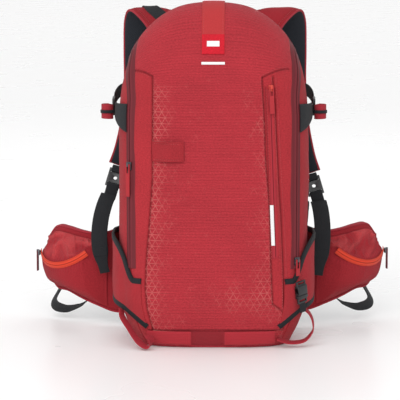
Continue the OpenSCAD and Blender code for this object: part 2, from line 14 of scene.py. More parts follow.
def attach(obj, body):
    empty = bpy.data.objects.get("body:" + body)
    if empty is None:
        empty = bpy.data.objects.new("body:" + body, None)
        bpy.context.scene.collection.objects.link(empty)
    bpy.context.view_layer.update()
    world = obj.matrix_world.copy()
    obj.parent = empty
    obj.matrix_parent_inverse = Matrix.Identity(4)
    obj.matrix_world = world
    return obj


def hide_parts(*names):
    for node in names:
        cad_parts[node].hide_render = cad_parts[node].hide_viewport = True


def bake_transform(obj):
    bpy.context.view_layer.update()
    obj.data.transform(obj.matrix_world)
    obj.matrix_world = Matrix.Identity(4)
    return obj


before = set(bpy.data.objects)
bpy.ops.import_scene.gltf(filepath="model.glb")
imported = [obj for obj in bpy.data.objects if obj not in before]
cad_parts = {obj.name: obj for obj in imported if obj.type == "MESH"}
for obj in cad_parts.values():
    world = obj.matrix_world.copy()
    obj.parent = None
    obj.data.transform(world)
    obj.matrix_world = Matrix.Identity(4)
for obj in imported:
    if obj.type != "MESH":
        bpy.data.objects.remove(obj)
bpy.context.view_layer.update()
MM = 0.001
LEFT, RIGHT = -1, 1
SIDES = ((LEFT, "left"), (RIGHT, "right"))


# ---- camera
CAMERA_AZIMUTH = 1.0
CAMERA_ELEVATION = 7.0
CAMERA_DISTANCE = 3.0
CAMERA_TARGET = Vector((-0.0212, 0.0, 0.2165))
CAMERA_LENS = 174.5


def make_camera():
    data = bpy.data.cameras.new("camera")
    data.sensor_width = 36.0
    data.lens = CAMERA_LENS
    camera = bpy.data.objects.new("camera", data)
    bpy.context.scene.collection.objects.link(camera)
    a, e = math.radians(CAMERA_AZIMUTH), math.radians(CAMERA_ELEVATION)
    out = Vector((math.sin(a) * math.cos(e), -math.cos(a) * math.cos(e), math.sin(e)))
    camera.location = CAMERA_TARGET + out * CAMERA_DISTANCE
    camera.rotation_euler = out.to_track_quat("Z", "Y").to_euler()
    bpy.context.scene.camera = camera


make_camera()


# ---- numbers
def mix(a, b, t):
    return a + (b - a) * t


def ease(t):
    c = np.clip(t, 0.0, 1.0)
    return c * c * (3.0 - 2.0 * c)


def bump(d, width):
    return np.exp(-((d / width) ** 2))


def row(a, b, n):
    return np.linspace(a, b, n)[None, :]


def column(a, b, n):
    return np.linspace(a, b, n)[:, None]


def unit(v):
    v = np.asarray(v, float)
    return v / np.maximum(np.linalg.norm(v, axis=-1, keepdims=True), 1e-9)


def rounded(inside, r):
    """How full a soft edge is, from 0 to 1, at a distance inside its outline."""
    return np.clip(inside / r, 0, 1) ** 0.5


def way_along(path):
    """The way from a path's start to each of its points."""
    return np.concatenate([[0], np.cumsum(np.linalg.norm(np.diff(path, axis=0), axis=1))])


def curve(points, steps):
    """Catmull-Rom curve through given points."""
    p = np.asarray(points, float)
    out = []
    for i in range(len(p) - 1):
        a, b, c, d = p[max(i - 1, 0)], p[i], p[i + 1], p[min(i + 2, len(p) - 1)]
        for k in range(steps):
            t = k / steps
            out.append(0.5 * (2 * b + (c - a) * t + (2 * a - 5 * b + 4 * c - d) * t * t
                              + (3 * b - a - 3 * c + d) * t ** 3))
    out.append(p[-1])
    return np.array(out)


def polyline_distance(x, y, points):
    """Signed distance from a polyline, positive to its right, and the way along it."""
    best = np.full(np.shape(x), 1e9)
    sign = np.ones(np.shape(x))
    along = np.zeros(np.shape(x))
    start = 0.0
    for (ax, ay), (bx, by) in zip(points[:-1], points[1:]):
        dx, dy = bx - ax, by - ay
        length = math.hypot(dx, dy)
        t = np.clip(((x - ax) * dx + (y - ay) * dy) / length ** 2, 0, 1)
        ex, ey = x - ax - t * dx, y - ay - t * dy
        d = np.hypot(ex, ey)
        near = d < best
        best = np.where(near, d, best)
        sign = np.where(near, np.where(ex * dy - ey * dx >= 0, 1.0, -1.0), sign)
        along = np.where(near, start + t * length, along)
        start += length
    return best * sign, along


def ripples(points, scale, seed):
    """Soft uneven swelling, about -1 to 1: a few crossed waves about scale millimetres long."""
    total = np.zeros(points.shape[:-1])
    for k in range(5):
        a = seed * 1.7 + k * 2.399
        way = np.array([math.cos(a), math.sin(a * 1.3), math.sin(a)])
        way /= np.linalg.norm(way)
        total += np.sin(points @ way * (2 * math.pi / (scale * (0.7 + 0.17 * k))) + seed + k * 1.9)
    return total / 3.0


# ---- the bag's surface, as in the CAD model
# u is the way round the bag in millimetres: up the front, over the dome at FAN for a degree, and down the back.
HALF_W = 146.0
SPINE_Y = -8.0
FRONT_REACH, BACK_REACH = 96.0, 94.0
DOME_Z, DOME_H = 369.0, 151.0
FOOT_Z, FOOT_IN, FOOT_FRONT_IN, FOOT_BACK_IN = 90.0, 30.0, 26.0, 6.0
FAN = 2.0
BACK_U = DOME_Z + 180 * FAN
END_U = BACK_U + DOME_Z
TOP_ZIP_U = DOME_Z + 112 * FAN
FRONT_N, TOP_N, BACK_N = 3.2, 2.5, 5.0
ZIP_SHARE, TOP_ZIP_SHARE, BACK_SHARE = 0.85, 0.90, 0.93
BAG_HEIGHT, LEAN_Z, TOP_IN = 520.0, 350.0, 24.0
HINGE_Z = 122.0
BACK_Y = SPINE_Y + BACK_REACH
BASE_Z = 4.0


def fan(u):
    """The angle over the dome, 0 at the front and 180 at the back."""
    return np.clip((u - DOME_Z) / FAN, 0, 180)


def height(u):
    return np.where(u < DOME_Z, u, np.where(u > BACK_U, END_U - u, DOME_Z))


def foot(z):
    return np.where(z < FOOT_Z, (1 - z / FOOT_Z) ** 2, 0.0)


def lean(z):
    """How far each side leans in above LEAN_Z."""
    return TOP_IN * (np.maximum(0.0, z - LEAN_Z) / (BAG_HEIGHT - LEAN_Z)) ** 1.4


def squareness(u):
    """The power of the section's rounded square."""
    b = fan(u)
    return np.where(b < 90, mix(FRONT_N, TOP_N, ease(b / 90)), mix(TOP_N, BACK_N, ease((b - 90) / 90)))


def reach(u):
    b = fan(u)
    e = np.where(b < 90, 2.3, mix(2.3, 4.0, ease((b - 90) / 50)))
    r = np.where(b < 90, FRONT_REACH, BACK_REACH)
    rad = np.radians(b)
    dome = 1 / ((np.abs(np.cos(rad)) / r) ** e + (np.sin(rad) / DOME_H) ** e) ** (1 / e)
    front = FRONT_REACH - FOOT_FRONT_IN * foot(u)
    back = BACK_REACH - FOOT_BACK_IN * foot(END_U - u)
    return np.where(u < DOME_Z, front, np.where(u > BACK_U, back, dome))


def other(share, n):
    """The share of the one half width that goes with a share of the other, on a rounded square."""
    return np.maximum(0, 1 - np.abs(share) ** n) ** (1 / n)


def skin(u, px, py, lift=0.0):
    """A point on the bag at shares px of its half width and py of its depth."""
    u, px, py, lift = np.broadcast_arrays(*(np.asarray(v, float) for v in (u, px, py, lift)))
    r = (reach(u) + lift) * py
    rad = np.radians(fan(u))
    z = height(u) + r * np.sin(rad)
    w = HALF_W - FOOT_IN * foot(height(u)) - lean(z) + lift
    return np.stack([w * px, SPINE_Y - r * np.cos(rad), z], -1)


def skin_x(u, px, lift=0.0):
    return skin(u, px, other(px, squareness(np.asarray(u, float))), lift)


def on_skin(u, x, lift=0.0):
    """The skin at a distance x from the middle."""
    u, x = np.broadcast_arrays(np.asarray(u, float), np.asarray(x, float))
    deep = reach(u) * other(np.clip(np.abs(x) / HALF_W, 0, 0.99), squareness(u))
    z = height(u) + deep * np.sin(np.radians(fan(u)))
    return skin_x(u, x / (HALF_W - FOOT_IN * foot(height(u)) - lean(z)), lift)


def outward(u, x):
    return unit(on_skin(u, x, 2.0) - on_skin(u, x, 1.0))


def skin_y(u, side, py, lift=0.0):
    return skin(u, side * other(py, squareness(np.asarray(u, float))), py, lift)


def edge_share(u):
    """The share of the half width at which the front and back panels meet the sides."""
    rise = mix(ZIP_SHARE, TOP_ZIP_SHARE, ease((u - DOME_Z) / 100))
    fall = mix(TOP_ZIP_SHARE, BACK_SHARE, ease((u - TOP_ZIP_U) / (BACK_U - TOP_ZIP_U)))
    return np.where(u < TOP_ZIP_U, rise, fall)


def edge_y(u):
    return other(edge_share(u), squareness(u))


CORNER_DROP = 40.0


def top_line(c):
    """Where the front panel's fabric ends at the top: rounded towards both corners."""
    return TOP_ZIP_U - CORNER_DROP * np.abs(c) ** 7


# ---- meshes
def grid_normals(p):
    du = np.gradient(p, axis=0)
    dv = np.gradient(p, axis=1)
    return unit(np.cross(dv, du))


def link(obj):
    bpy.context.scene.collection.objects.link(obj)
    return obj


def new_mesh(name, verts, faces, uvs, mats, indices=None, attrs=None, sharp=42):
    """An object from vertices in millimetres. uvs has one pair for each vertex, in metres."""
    mesh = bpy.data.meshes.new(name)
    mesh.from_pydata((np.asarray(verts) * MM).tolist(), [], [list(f) for f in faces])
    layer = mesh.uv_layers.new(name="UVMap")
    loops = np.empty(len(mesh.loops), int)
    mesh.loops.foreach_get("vertex_index", loops)
    layer.data.foreach_set("uv", np.asarray(uvs)[loops].ravel())
    for key, values in (attrs or {}).items():
        mesh.attributes.new(key, "FLOAT", "POINT").data.foreach_set("value", np.asarray(values, float).ravel())
    for m in mats.split():
        mesh.materials.append(MAT[m])
    if indices is not None:
        mesh.polygons.foreach_set("material_index", np.asarray(indices, int))
    mesh.polygons.foreach_set("use_smooth", [True] * len(mesh.polygons))
    obj = link(bpy.data.objects.new(name, mesh))
    mesh.set_sharp_from_angle(angle=math.radians(sharp))
    return obj


def change_mesh(mesh, *changes):
    """Passes a mesh through functions of its bmesh."""
    bm = bmesh.new()
    bm.from_mesh(mesh)
    for change in changes:
        change(bm)
    bm.to_mesh(mesh)
    bm.free()


def tidy_mesh(obj, merge=None, sharp=42):
    """Welds touching vertices where asked and turns every face outwards."""
    weld = [lambda bm: bmesh.ops.remove_doubles(bm, verts=bm.verts, dist=merge * MM),
            lambda bm: bmesh.ops.dissolve_degenerate(bm, dist=0.01 * MM, edges=bm.edges)] if merge else []
    change_mesh(obj.data, *weld, lambda bm: bmesh.ops.recalc_face_normals(bm, faces=bm.faces))
    obj.data.set_sharp_from_angle(angle=math.radians(sharp))
    return obj


def patch(name, outer, inner, mats, uv=None, attrs=None, merge=None, sharp=42):
    """A closed sheet between two grids of points. mats names the outer face's material and the inner's."""
    rows, cols = outer.shape[:2]
    n = rows * cols
    idx = np.arange(n).reshape(rows, cols)
    a, b, c, d = idx[:-1, :-1], idx[:-1, 1:], idx[1:, 1:], idx[1:, :-1]
    front = np.stack([a, b, c, d], -1).reshape(-1, 4)
    back = np.stack([a, d, c, b], -1).reshape(-1, 4) + n
    loop = np.concatenate([idx[0, :-1], idx[:-1, -1], idx[-1, :0:-1], idx[:0:-1, 0]])
    nxt = np.roll(loop, -1)
    rim = np.stack([nxt, loop, loop + n, nxt + n], -1)
    faces = np.concatenate([front, back, rim])
    last = len(mats.split()) - 1
    indices = np.repeat([0, last, 0], [len(front), len(back), len(rim)])
    if uv is None:
        uv = grid_uv(outer)
    uvs = np.concatenate([uv.reshape(-1, 2)] * 2)
    both = {k: np.concatenate([v.ravel()] * 2) for k, v in (attrs or {}).items()}
    verts = np.concatenate([outer.reshape(-1, 3), inner.reshape(-1, 3)])
    obj = new_mesh(name, verts, faces, uvs, mats, indices, both, sharp)
    return tidy_mesh(obj, merge, sharp)


def flat_uv(a, b):
    """Texture coordinates from two sets of millimetres."""
    return np.stack(np.broadcast_arrays(a, b), -1) * MM


def grid_uv(p):
    """Distances over a grid in metres, from its middle."""
    across = np.linalg.norm(np.diff(p, axis=1), axis=2).mean(axis=0)
    down = np.linalg.norm(np.diff(p, axis=0), axis=2).mean(axis=1)
    s = np.concatenate([[0], np.cumsum(across)])
    t = np.concatenate([[0], np.cumsum(down)])
    s, t = s - s[-1] / 2, t - t[-1] / 2
    return np.stack(np.meshgrid(s, t), -1) * MM


def sweep(name, path, facing, profile, mats, scale=None, sharp=42):
    """A closed profile of (across, up) points carried along a path whose face looks along facing."""
    path = np.asarray(path, float)
    tangent = unit(np.gradient(path, axis=0))
    across = unit(np.cross(tangent, np.broadcast_to(np.asarray(facing, float), path.shape)))
    normal = unit(np.cross(across, tangent))
    prof = np.asarray(profile, float)
    n, m = len(path), len(prof)
    wide = np.ones(n) if scale is None else np.asarray(scale, float)
    verts = (path[:, None] + across[:, None] * (prof[None, :, :1] * wide[:, None, None])
             + normal[:, None] * prof[None, :, 1:]).reshape(-1, 3)
    uv = np.stack([np.tile(prof[:, 0], n), np.repeat(way_along(path), m)], -1) * MM
    faces = [(i * m + k, i * m + (k + 1) % m, (i + 1) * m + (k + 1) % m, (i + 1) * m + k)
             for i in range(n - 1) for k in range(m)]
    faces += [tuple(range(m)), tuple((n - 1) * m + k for k in reversed(range(m)))]
    return tidy_mesh(new_mesh(name, verts, faces, uv, mats, sharp=sharp), sharp=sharp)


def flat_profile(w, t, r=None):
    """A band's section: flat, with rounded edges."""
    r = min(r or t / 2, t / 2)
    pts = []
    for cx, cy, start in ((w / 2 - r, t / 2 - r, 0), (-w / 2 + r, t / 2 - r, 90),
                          (-w / 2 + r, -t / 2 + r, 180), (w / 2 - r, -t / 2 + r, 270)):
        for k in range(4):
            a = math.radians(start + 30 * k)
            pts.append((cx + r * math.cos(a), cy + r * math.sin(a)))
    return pts


def tube_profile(r, n=10):
    return [(r * math.cos(2 * math.pi * k / n), r * math.sin(2 * math.pi * k / n)) for k in range(n)]


def join(target, parts):
    """Puts the meshes of parts into target."""
    bpy.ops.object.select_all(action="DESELECT")
    for o in [target, *parts]:
        o.select_set(True)
    bpy.context.view_layer.objects.active = target
    bpy.ops.object.join()
    return target


def apply_all(obj):
    """Turns an object's modifiers into its mesh."""
    graph = bpy.context.evaluated_depsgraph_get()
    mesh = bpy.data.meshes.new_from_object(obj.evaluated_get(graph), depsgraph=graph)
    old = obj.data
    obj.modifiers.clear()
    obj.data = mesh
    bpy.data.meshes.remove(old)
    return obj


def subdivided(obj, levels=1):
    obj.modifiers.new("Subdivision", "SUBSURF").levels = levels
    return apply_all(obj)


def both_sides(build):
    for side, name in SIDES:
        build(side, name)


def applique(name, x, u, lift, under, mat, attrs=None):
    """A flat piece sewn on the skin, between two distances off it."""
    return patch(name, on_skin(u, x, lift), on_skin(u, x, under), mat, flat_uv(x, u), attrs)


def put(obj, body, slot, *nodes):
    """Rides a finished piece on its body and hides the CAD nodes it stands for."""
    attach(obj, body)
    if nodes:
        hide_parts(*nodes)
    return obj


def put_between(obj, first, second, start, end, slot, *nodes):
    """For a soft piece sewn to two bodies: bakes its place into its mesh and hides the CAD nodes it stands for, but
    rides it on neither body. start and end are not used.
    """
    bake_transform(obj)
    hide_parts(*nodes)


# ---- shader nodes
class Shader:
    """A material's node tree, written as nested calls."""

    def __init__(self, name):
        self.material = bpy.data.materials.new(name)
        self.material.use_nodes = True
        self.tree = self.material.node_tree
        self.tree.nodes.clear()
        self.out = self.tree.nodes.new("ShaderNodeOutputMaterial")
        self.bsdf = self.tree.nodes.new("ShaderNodeBsdfPrincipled")
        self.tree.links.new(self.bsdf.outputs[0], self.out.inputs[0])

    def set(self, socket, value):
        if isinstance(value, bpy.types.NodeSocket):
            self.tree.links.new(value, socket)
        elif value is not None:
            socket.default_value = value

    def math(self, op, a, b=None, c=None):
        node = self.tree.nodes.new("ShaderNodeMath")
        node.operation = op
        for i, v in enumerate((a, b, c)):
            self.set(node.inputs[i], v)
        return node.outputs[0]

    def uv(self):
        return self.tree.nodes.new("ShaderNodeUVMap").outputs[0]

    def position(self):
        return self.tree.nodes.new("ShaderNodeTexCoord").outputs["Object"]

    def scaled(self, vector, by):
        node = self.tree.nodes.new("ShaderNodeMapping")
        self.set(node.inputs["Vector"], vector)
        node.inputs["Scale"].default_value = by
        return node.outputs[0]

    def parts(self, vector):
        node = self.tree.nodes.new("ShaderNodeSeparateXYZ")
        self.set(node.inputs[0], vector)
        return node.outputs

    def noise(self, vector, scale, detail=3.0, rough=0.5):
        node = self.tree.nodes.new("ShaderNodeTexNoise")
        self.set(node.inputs["Vector"], vector)
        node.inputs["Scale"].default_value = scale
        node.inputs["Detail"].default_value = detail
        node.inputs["Roughness"].default_value = rough
        return node.outputs["Fac"]

    def remap(self, value, lo, hi, to_lo=0.0, to_hi=1.0):
        node = self.tree.nodes.new("ShaderNodeMapRange")
        self.set(node.inputs[0], value)
        for i, v in enumerate((lo, hi, to_lo, to_hi)):
            node.inputs[i + 1].default_value = v
        return node.outputs[0]

    def vary(self, onto, value, by, lo=0.3, hi=0.7):
        """Adds by, times a value taken from lo and hi to -1 and 1."""
        return self.math("MULTIPLY_ADD", self.remap(value, lo, hi, -1.0, 1.0), by, onto)

    def tones(self, fac, colour, dark=0.5, light=1.5):
        return self.blend(fac, tone(colour, dark), tone(colour, light))

    def blend(self, fac, a, b):
        node = self.tree.nodes.new("ShaderNodeMix")
        node.data_type = "RGBA"
        self.set(node.inputs[0], fac)
        for i, v in ((6, a), (7, b)):
            self.set(node.inputs[i], (*v, 1.0) if isinstance(v, tuple) and len(v) == 3 else v)
        return node.outputs[2]

    def attribute(self, name):
        node = self.tree.nodes.new("ShaderNodeAttribute")
        node.attribute_name = name
        return node.outputs["Fac"]

    def wave(self, value, period):
        """A sine of a length in metres, from 0 to 1."""
        phase = self.math("MULTIPLY", value, 2 * math.pi / (period * MM))
        return self.math("MULTIPLY_ADD", self.math("SINE", phase), 0.5, 0.5)

    def bump(self, height, distance, strength=1.0, below=None):
        node = self.tree.nodes.new("ShaderNodeBump")
        node.inputs["Strength"].default_value = strength
        node.inputs["Distance"].default_value = distance * MM
        self.set(node.inputs["Height"], height)
        if below is not None:
            self.set(node.inputs["Normal"], below)
        return node.outputs[0]

    def finish(self, colour, roughness, normal=None, **uniform):
        self.set(self.bsdf.inputs["Base Color"], (*colour, 1.0) if isinstance(colour, tuple) else colour)
        self.set(self.bsdf.inputs["Roughness"], roughness)
        if normal is not None:
            self.set(self.bsdf.inputs["Normal"], normal)
        for key, value in uniform.items():
            self.bsdf.inputs[key.replace("_", " ")].default_value = value
        return self.material


def weave(s, u, v, thread):
    """Crossed threads, over and under: height from 0 to 1."""
    a = s.wave(u, thread)
    b = s.wave(v, thread)
    over = s.wave(s.math("ADD", u, v), thread * 2)
    return s.math("ADD", s.math("MULTIPLY", a, over), s.math("MULTIPLY", b, s.math("SUBTRACT", 1.0, over)))


def tone(colour, k):
    return tuple(min(1.0, v * k) for v in colour)


def cloth_material(name, colour, thread=0.9, depth=0.25, rough=0.85, sheen=0.04, worn=0.10, heather_and_thread_shade=0.12, by=None,
                   highlight_colour=None):
    """Plain woven cloth, in a second colour where the named attribute is 1: on the belt pockets a lighter colour, a
    painted highlight on the crests of the folds.
    """
    s = Shader(name)
    uv = s.uv()
    u, v, _ = s.parts(uv)
    fine = s.noise(s.scaled(uv, (1.0, 0.35, 1.0)), 1500, 2.0, 0.6)
    broad = s.noise(s.position(), 14, 3.0, 0.55)
    height = s.math("MULTIPLY_ADD", fine, 0.5, weave(s, u, v, thread))
    # painted shade: the colour follows the weave's height, darker between the threads; the noises below vary the tone
    # at random
    shade = s.vary(0.5, height, heather_and_thread_shade, 0.2, 1.6)
    shade = s.vary(shade, broad, worn)
    shade = s.vary(shade, fine, heather_and_thread_shade * 0.8)
    shade = s.vary(shade, s.noise(uv, 520, 2.0, 0.7), heather_and_thread_shade * 1.3)
    dark, light = tone(colour, 0.5), tone(colour, 1.5)
    if by:
        # painted highlight: the lighter second colour, blended in where the attribute is 1
        dark = s.blend(s.attribute(by), dark, tone(highlight_colour, 0.5))
        light = s.blend(s.attribute(by), light, tone(highlight_colour, 1.5))
    return s.finish(s.blend(shade, dark, light), s.remap(broad, 0.3, 0.7, rough - 0.05, rough + 0.06),
                    s.bump(height, depth), Sheen_Weight=sheen, Sheen_Roughness=0.45, Specular_IOR_Level=0.12)


def web_material(name, colour, rib=1.5, rough=0.72, depth=0.35, by=None):
    """Ribbed webbing: ribs across the band and a soft grain along it, darker where the named attribute is 0."""
    s = Shader(name)
    uv = s.uv()
    u, v, _ = s.parts(uv)
    ribs = s.wave(v, rib)
    lanes = s.wave(u, 2.6)
    fine = s.noise(s.scaled(uv, (1.0, 0.5, 1.0)), 1400, 2.0)
    height = s.math("MULTIPLY_ADD", lanes, 0.35, s.math("MULTIPLY_ADD", fine, 0.3, ribs))
    # painted shade: darker in the troughs between the ribs and lanes, lighter on their tops
    paint = s.tones(s.remap(height, 0.1, 1.5), colour, 0.7)
    if by:
        paint = s.blend(s.attribute(by), tone(colour, 0.72), paint)
    return s.finish(paint, rough, s.bump(height, depth), Sheen_Weight=0.03, Sheen_Roughness=0.4,
                    Specular_IOR_Level=0.25)


def plastic_material(name, colour, rough=0.42, grain=0.05):
    s = Shader(name)
    p = s.position()
    fine = s.noise(p, 2600, 2.0)
    broad = s.noise(p, 60, 2.0)
    paint = s.tones(s.remap(broad, 0.3, 0.7), colour, 0.85, 1.2)
    return s.finish(paint, s.remap(broad, 0.3, 0.7, rough - 0.05, rough + 0.08), s.bump(fine, grain),
                    Specular_IOR_Level=0.5)


def metal_material(name, colour, rough=0.35):
    s = Shader(name)
    broad = s.noise(s.position(), 300, 3.0)
    paint = s.tones(s.remap(broad, 0.3, 0.7), colour, 0.8, 1.15)
    return s.finish(paint, s.remap(broad, 0.3, 0.7, rough - 0.08, rough + 0.1), s.bump(broad, 0.04), Metallic=0.9)


def mesh_material(name, colour, cell=2.6, by_uv=True):
    """Open spacer mesh: a lattice of small holes over dark foam, the holes painted darker still as shade and the
    ridges lighter.
    """
    s = Shader(name)
    u, v, third = s.parts(s.uv() if by_uv else s.position())
    if not by_uv:
        v = third
    a = s.wave(s.math("MULTIPLY_ADD", v, 0.58, u), cell)
    b = s.wave(s.math("MULTIPLY_ADD", v, -0.58, u), cell)
    holes = s.math("POWER", s.math("MULTIPLY", a, b), 0.8)
    fine = s.noise(s.uv(), 1500, 2.0)
    height = s.math("MULTIPLY_ADD", fine, 0.3, s.math("SUBTRACT", 1.0, holes))
    # painted shade: darker in the holes, lighter on the ridges between them
    paint = s.tones(s.remap(height, 0.2, 1.1), colour, 0.3, 1.6)
    return s.finish(paint, 0.9, s.bump(height, 0.6), Sheen_Weight=0.03, Specular_IOR_Level=0.15)


def front_material(name, colour, side_colour):
    """The front fabric: ribbed ripstop with a printed lattice in the middle panel, plain weave at the sides."""
    s = Shader(name)
    uv = s.uv()
    u, v, _ = s.parts(uv)
    middle = s.attribute("panel")
    threads = weave(s, u, v, 0.95)
    fine = s.noise(s.scaled(uv, (0.5, 1.0, 1.0)), 1300, 2.0, 0.6)
    broad = s.noise(s.position(), 13, 3.0, 0.55)
    streak = s.noise(s.scaled(uv, (16.0, 420.0, 1.0)), 1.0, 2.0, 0.65)
    ribs = s.math("MULTIPLY", s.math("POWER", s.wave(v, 4.3), 5.0), middle)
    height = s.math("MULTIPLY_ADD", ribs, -1.1, s.math("MULTIPLY_ADD", fine, 0.5, threads))
    lines = None
    for angle in (0, 60, 120):
        way = math.radians(angle)
        d = s.math("MULTIPLY_ADD", u, math.sin(way), s.math("MULTIPLY", v, math.cos(way)))
        near = s.math("PINGPONG", s.math("DIVIDE", d, 8.8 * MM), 0.5)
        line = s.remap(near, 0.03, 0.09, 1.0, 0.0)
        lines = line if lines is None else s.math("MAXIMUM", lines, line)
    patches = s.noise(s.scaled(uv, (1.3, 1.0, 1.0)), 38, 3.0, 0.7)
    keep = s.remap(s.math("MULTIPLY_ADD", s.attribute("print"), 0.62, patches), 0.62, 1.05)
    ink = s.math("MULTIPLY", s.math("MULTIPLY", lines, keep), middle)
    # painted shade: the colour follows the height, darker in the rib grooves and between the threads
    shade = s.vary(0.52, height, 0.13, -0.6, 1.5)
    shade = s.vary(shade, broad, 0.07)
    shade = s.vary(shade, fine, 0.16)
    shade = s.vary(shade, s.noise(s.scaled(uv, (0.7, 1.0, 1.0)), 520, 2.0, 0.7), 0.20)
    streaks = s.math("MULTIPLY", s.remap(streak, 0.3, 0.7, -1.0, 1.0), middle)
    shade = s.math("MULTIPLY_ADD", streaks, 0.07, shade)
    dark = s.blend(middle, tone(side_colour, 0.5), tone(colour, 0.5))
    light = s.blend(middle, tone(side_colour, 1.5), tone(colour, 1.5))
    paint = s.blend(shade, dark, light)
    # painted shade: the colour is darkened along the seams' grooves and in the pocket's slit, by the seam attribute
    paint = s.blend(s.math("MULTIPLY", s.attribute("seam"), 0.6), paint, tone(colour, 0.25))
    paint = s.blend(s.math("MULTIPLY", ink, 0.34), paint, (0.66, 0.22, 0.19))
    rough = s.math("MULTIPLY_ADD", ink, -0.2, s.remap(broad, 0.3, 0.7, 0.80, 0.90))
    return s.finish(paint, rough, s.bump(height, 0.25), Sheen_Weight=0.04, Sheen_Roughness=0.45,
                    Specular_IOR_Level=0.12)


def zip_material(name, colour, rough=0.62):
    """A coated zip: fine ribs of the coil under a smooth film, dark where its halves meet, with painted shade in the
    coil's troughs and in that groove.
    """
    s = Shader(name)
    uv = s.uv()
    u, v, _ = s.parts(uv)
    coil = s.wave(v, 1.3)
    off = s.math("ABSOLUTE", u)
    near = s.remap(off, 0.0022, 0.0034, 1.0, 0.0)
    fine = s.noise(uv, 900, 2.0)
    height = s.math("MULTIPLY_ADD", s.math("MULTIPLY", coil, near), 0.8, s.math("MULTIPLY", fine, 0.4))
    # painted shade: darker in the coil's troughs
    paint = s.tones(s.remap(height, 0.0, 1.0), colour, 0.75, 1.3)
    # painted shade: a dark line in the groove where the halves meet
    paint = s.blend(s.remap(off, 0.0003, 0.0009, 0.7, 0.0), paint, tone(colour, 0.25))
    return s.finish(paint, rough, s.bump(height, 0.2), Specular_IOR_Level=0.18)


RED = (0.335, 0.025, 0.034)
SIDE_RED = (0.325, 0.023, 0.030)
BELT_RED = (0.27, 0.015, 0.022)
BLACK = (0.009, 0.010, 0.012)
MAROON = (0.135, 0.016, 0.022)
ORANGE = (0.56, 0.042, 0.018)

MAT = {
    "front": front_material("ripstop_red", RED, SIDE_RED),
    "shell": cloth_material("woven_red", SIDE_RED),
    "belt": cloth_material("belt_red", BELT_RED),
    "lining": cloth_material("lining_grey", (0.16, 0.165, 0.17), thread=0.7, rough=0.6, sheen=0.1),
    "back": cloth_material("back_black", (0.014, 0.015, 0.018), thread=0.9, heather_and_thread_shade=0.16),
    "mesh": mesh_material("spacer_mesh", (0.013, 0.015, 0.019)),
    "web_black": web_material("black_webbing", BLACK),
    "web_red": web_material("red_webbing", (0.27, 0.014, 0.024)),
    "zip": zip_material("coated_zip", MAROON),
    "zip_bright": zip_material("bright_zip", ORANGE, 0.5),
    "plastic": plastic_material("moulded_black", (0.009, 0.0095, 0.011)),
    "sheet": plastic_material("frame_sheet", (0.30, 0.31, 0.32), 0.5),
    "metal": metal_material("zip_metal", (0.10, 0.10, 0.11)),
    "alloy": metal_material("alloy", (0.70, 0.70, 0.72), 0.3),
    "slider_red": plastic_material("painted_slider", (0.50, 0.035, 0.020), 0.4),
    "cord": web_material("pull_cord", (0.30, 0.018, 0.024), 1.1),
    "cord_dark": web_material("pull_dark", (0.10, 0.016, 0.022), 1.1),
    "thread": cloth_material("thread", (0.42, 0.062, 0.068), thread=0.4, depth=0.05),
    "label": cloth_material("label_red", (0.50, 0.013, 0.025), thread=0.6, depth=0.12),
    "pale": cloth_material("reflective_tape", (0.78, 0.74, 0.74), thread=0.5, depth=0.05, rough=0.4, heather_and_thread_shade=0.03),
}


# ---- floor and light
def make_stage():
    s = Shader("floor")
    s.finish((0.95, 0.95, 0.95), s.remap(s.noise(s.position(), 3.0), 0.3, 0.7, 0.26, 0.32), Specular_IOR_Level=0.15)
    bpy.ops.mesh.primitive_plane_add(size=90.0, location=(0, 0, 0))
    floor = bpy.context.object
    floor.name = "floor"
    floor.data.materials.append(s.material)
    world = bpy.data.worlds.new("world")
    bpy.context.scene.world = world
    world.use_nodes = True
    world.node_tree.nodes["Background"].inputs[0].default_value = (1.0, 1.0, 1.0, 1.0)
    world.node_tree.nodes["Background"].inputs[1].default_value = 0.82
    sun = bpy.data.lights.new("sun", "SUN")
    sun.energy = 1.8
    sun.angle = math.radians(55)
    lamp = link(bpy.data.objects.new("sun", sun))
    lamp.rotation_euler = Vector((-0.12, -1.0, 0.48)).to_track_quat("Z", "Y").to_euler()
    for name, at, size, power in (("key", (-1.5, -2.3, 1.6), 1.2, 12.0), ("back", (0.3, 2.4, 2.6), 2.2, 10.0)):
        data = bpy.data.lights.new(name, "AREA")
        data.size = size
        data.energy = power
        lamp = link(bpy.data.objects.new(name, data))
        lamp.location = at
        lamp.rotation_euler = (Vector(at) - Vector((0, 0, 0.25))).to_track_quat("Z", "Y").to_euler()
    bpy.context.scene.view_settings.view_transform = "Standard"


make_stage()


# ---- stitches
def stitches(name, points, normals, length=2.6, gap=1.5, r=0.32, lift=0.18):
    """A row of short thread stitches along a line on a surface. Each stitch has five rings of six points."""
    s = way_along(points)
    angles = np.radians(np.arange(0, 360, 60))
    cos, sin = r * np.cos(angles), r * np.sin(angles)
    sink = np.array([-1.2, 0.2, 0.6, 0.2, -1.2]) * r
    verts, faces, uvs = [], [], []
    for start in np.arange(gap, s[-1] - length, length + gap):
        ts = start + length * np.array([0.0, 0.12, 0.5, 0.88, 1.0])
        mid, nor = (np.stack([np.interp(ts, s, v[:, k]) for k in range(3)], -1) for v in (points, normals))
        nor = unit(nor)
        side = unit(np.cross(nor, unit(mid[-1] - mid[0])))
        rings = (mid[:, None] + side[:, None] * cos[None, :, None]
                 + nor[:, None] * (sin[None, :, None] + sink[:, None, None] + lift))
        base = len(verts)
        verts += list(rings.reshape(-1, 3))
        uvs += [(x * MM, t * MM) for t in ts for x in cos]
        faces += [tuple(base + n for n in (i * 6 + k, i * 6 + (k + 1) % 6, i * 6 + 6 + (k + 1) % 6, i * 6 + 6 + k))
                  for i in range(4) for k in range(6)]
        faces += [tuple(base + k for k in reversed(range(6))), tuple(base + 24 + k for k in range(6))]
    return new_mesh(name, verts, faces, uvs, "thread") if verts else None


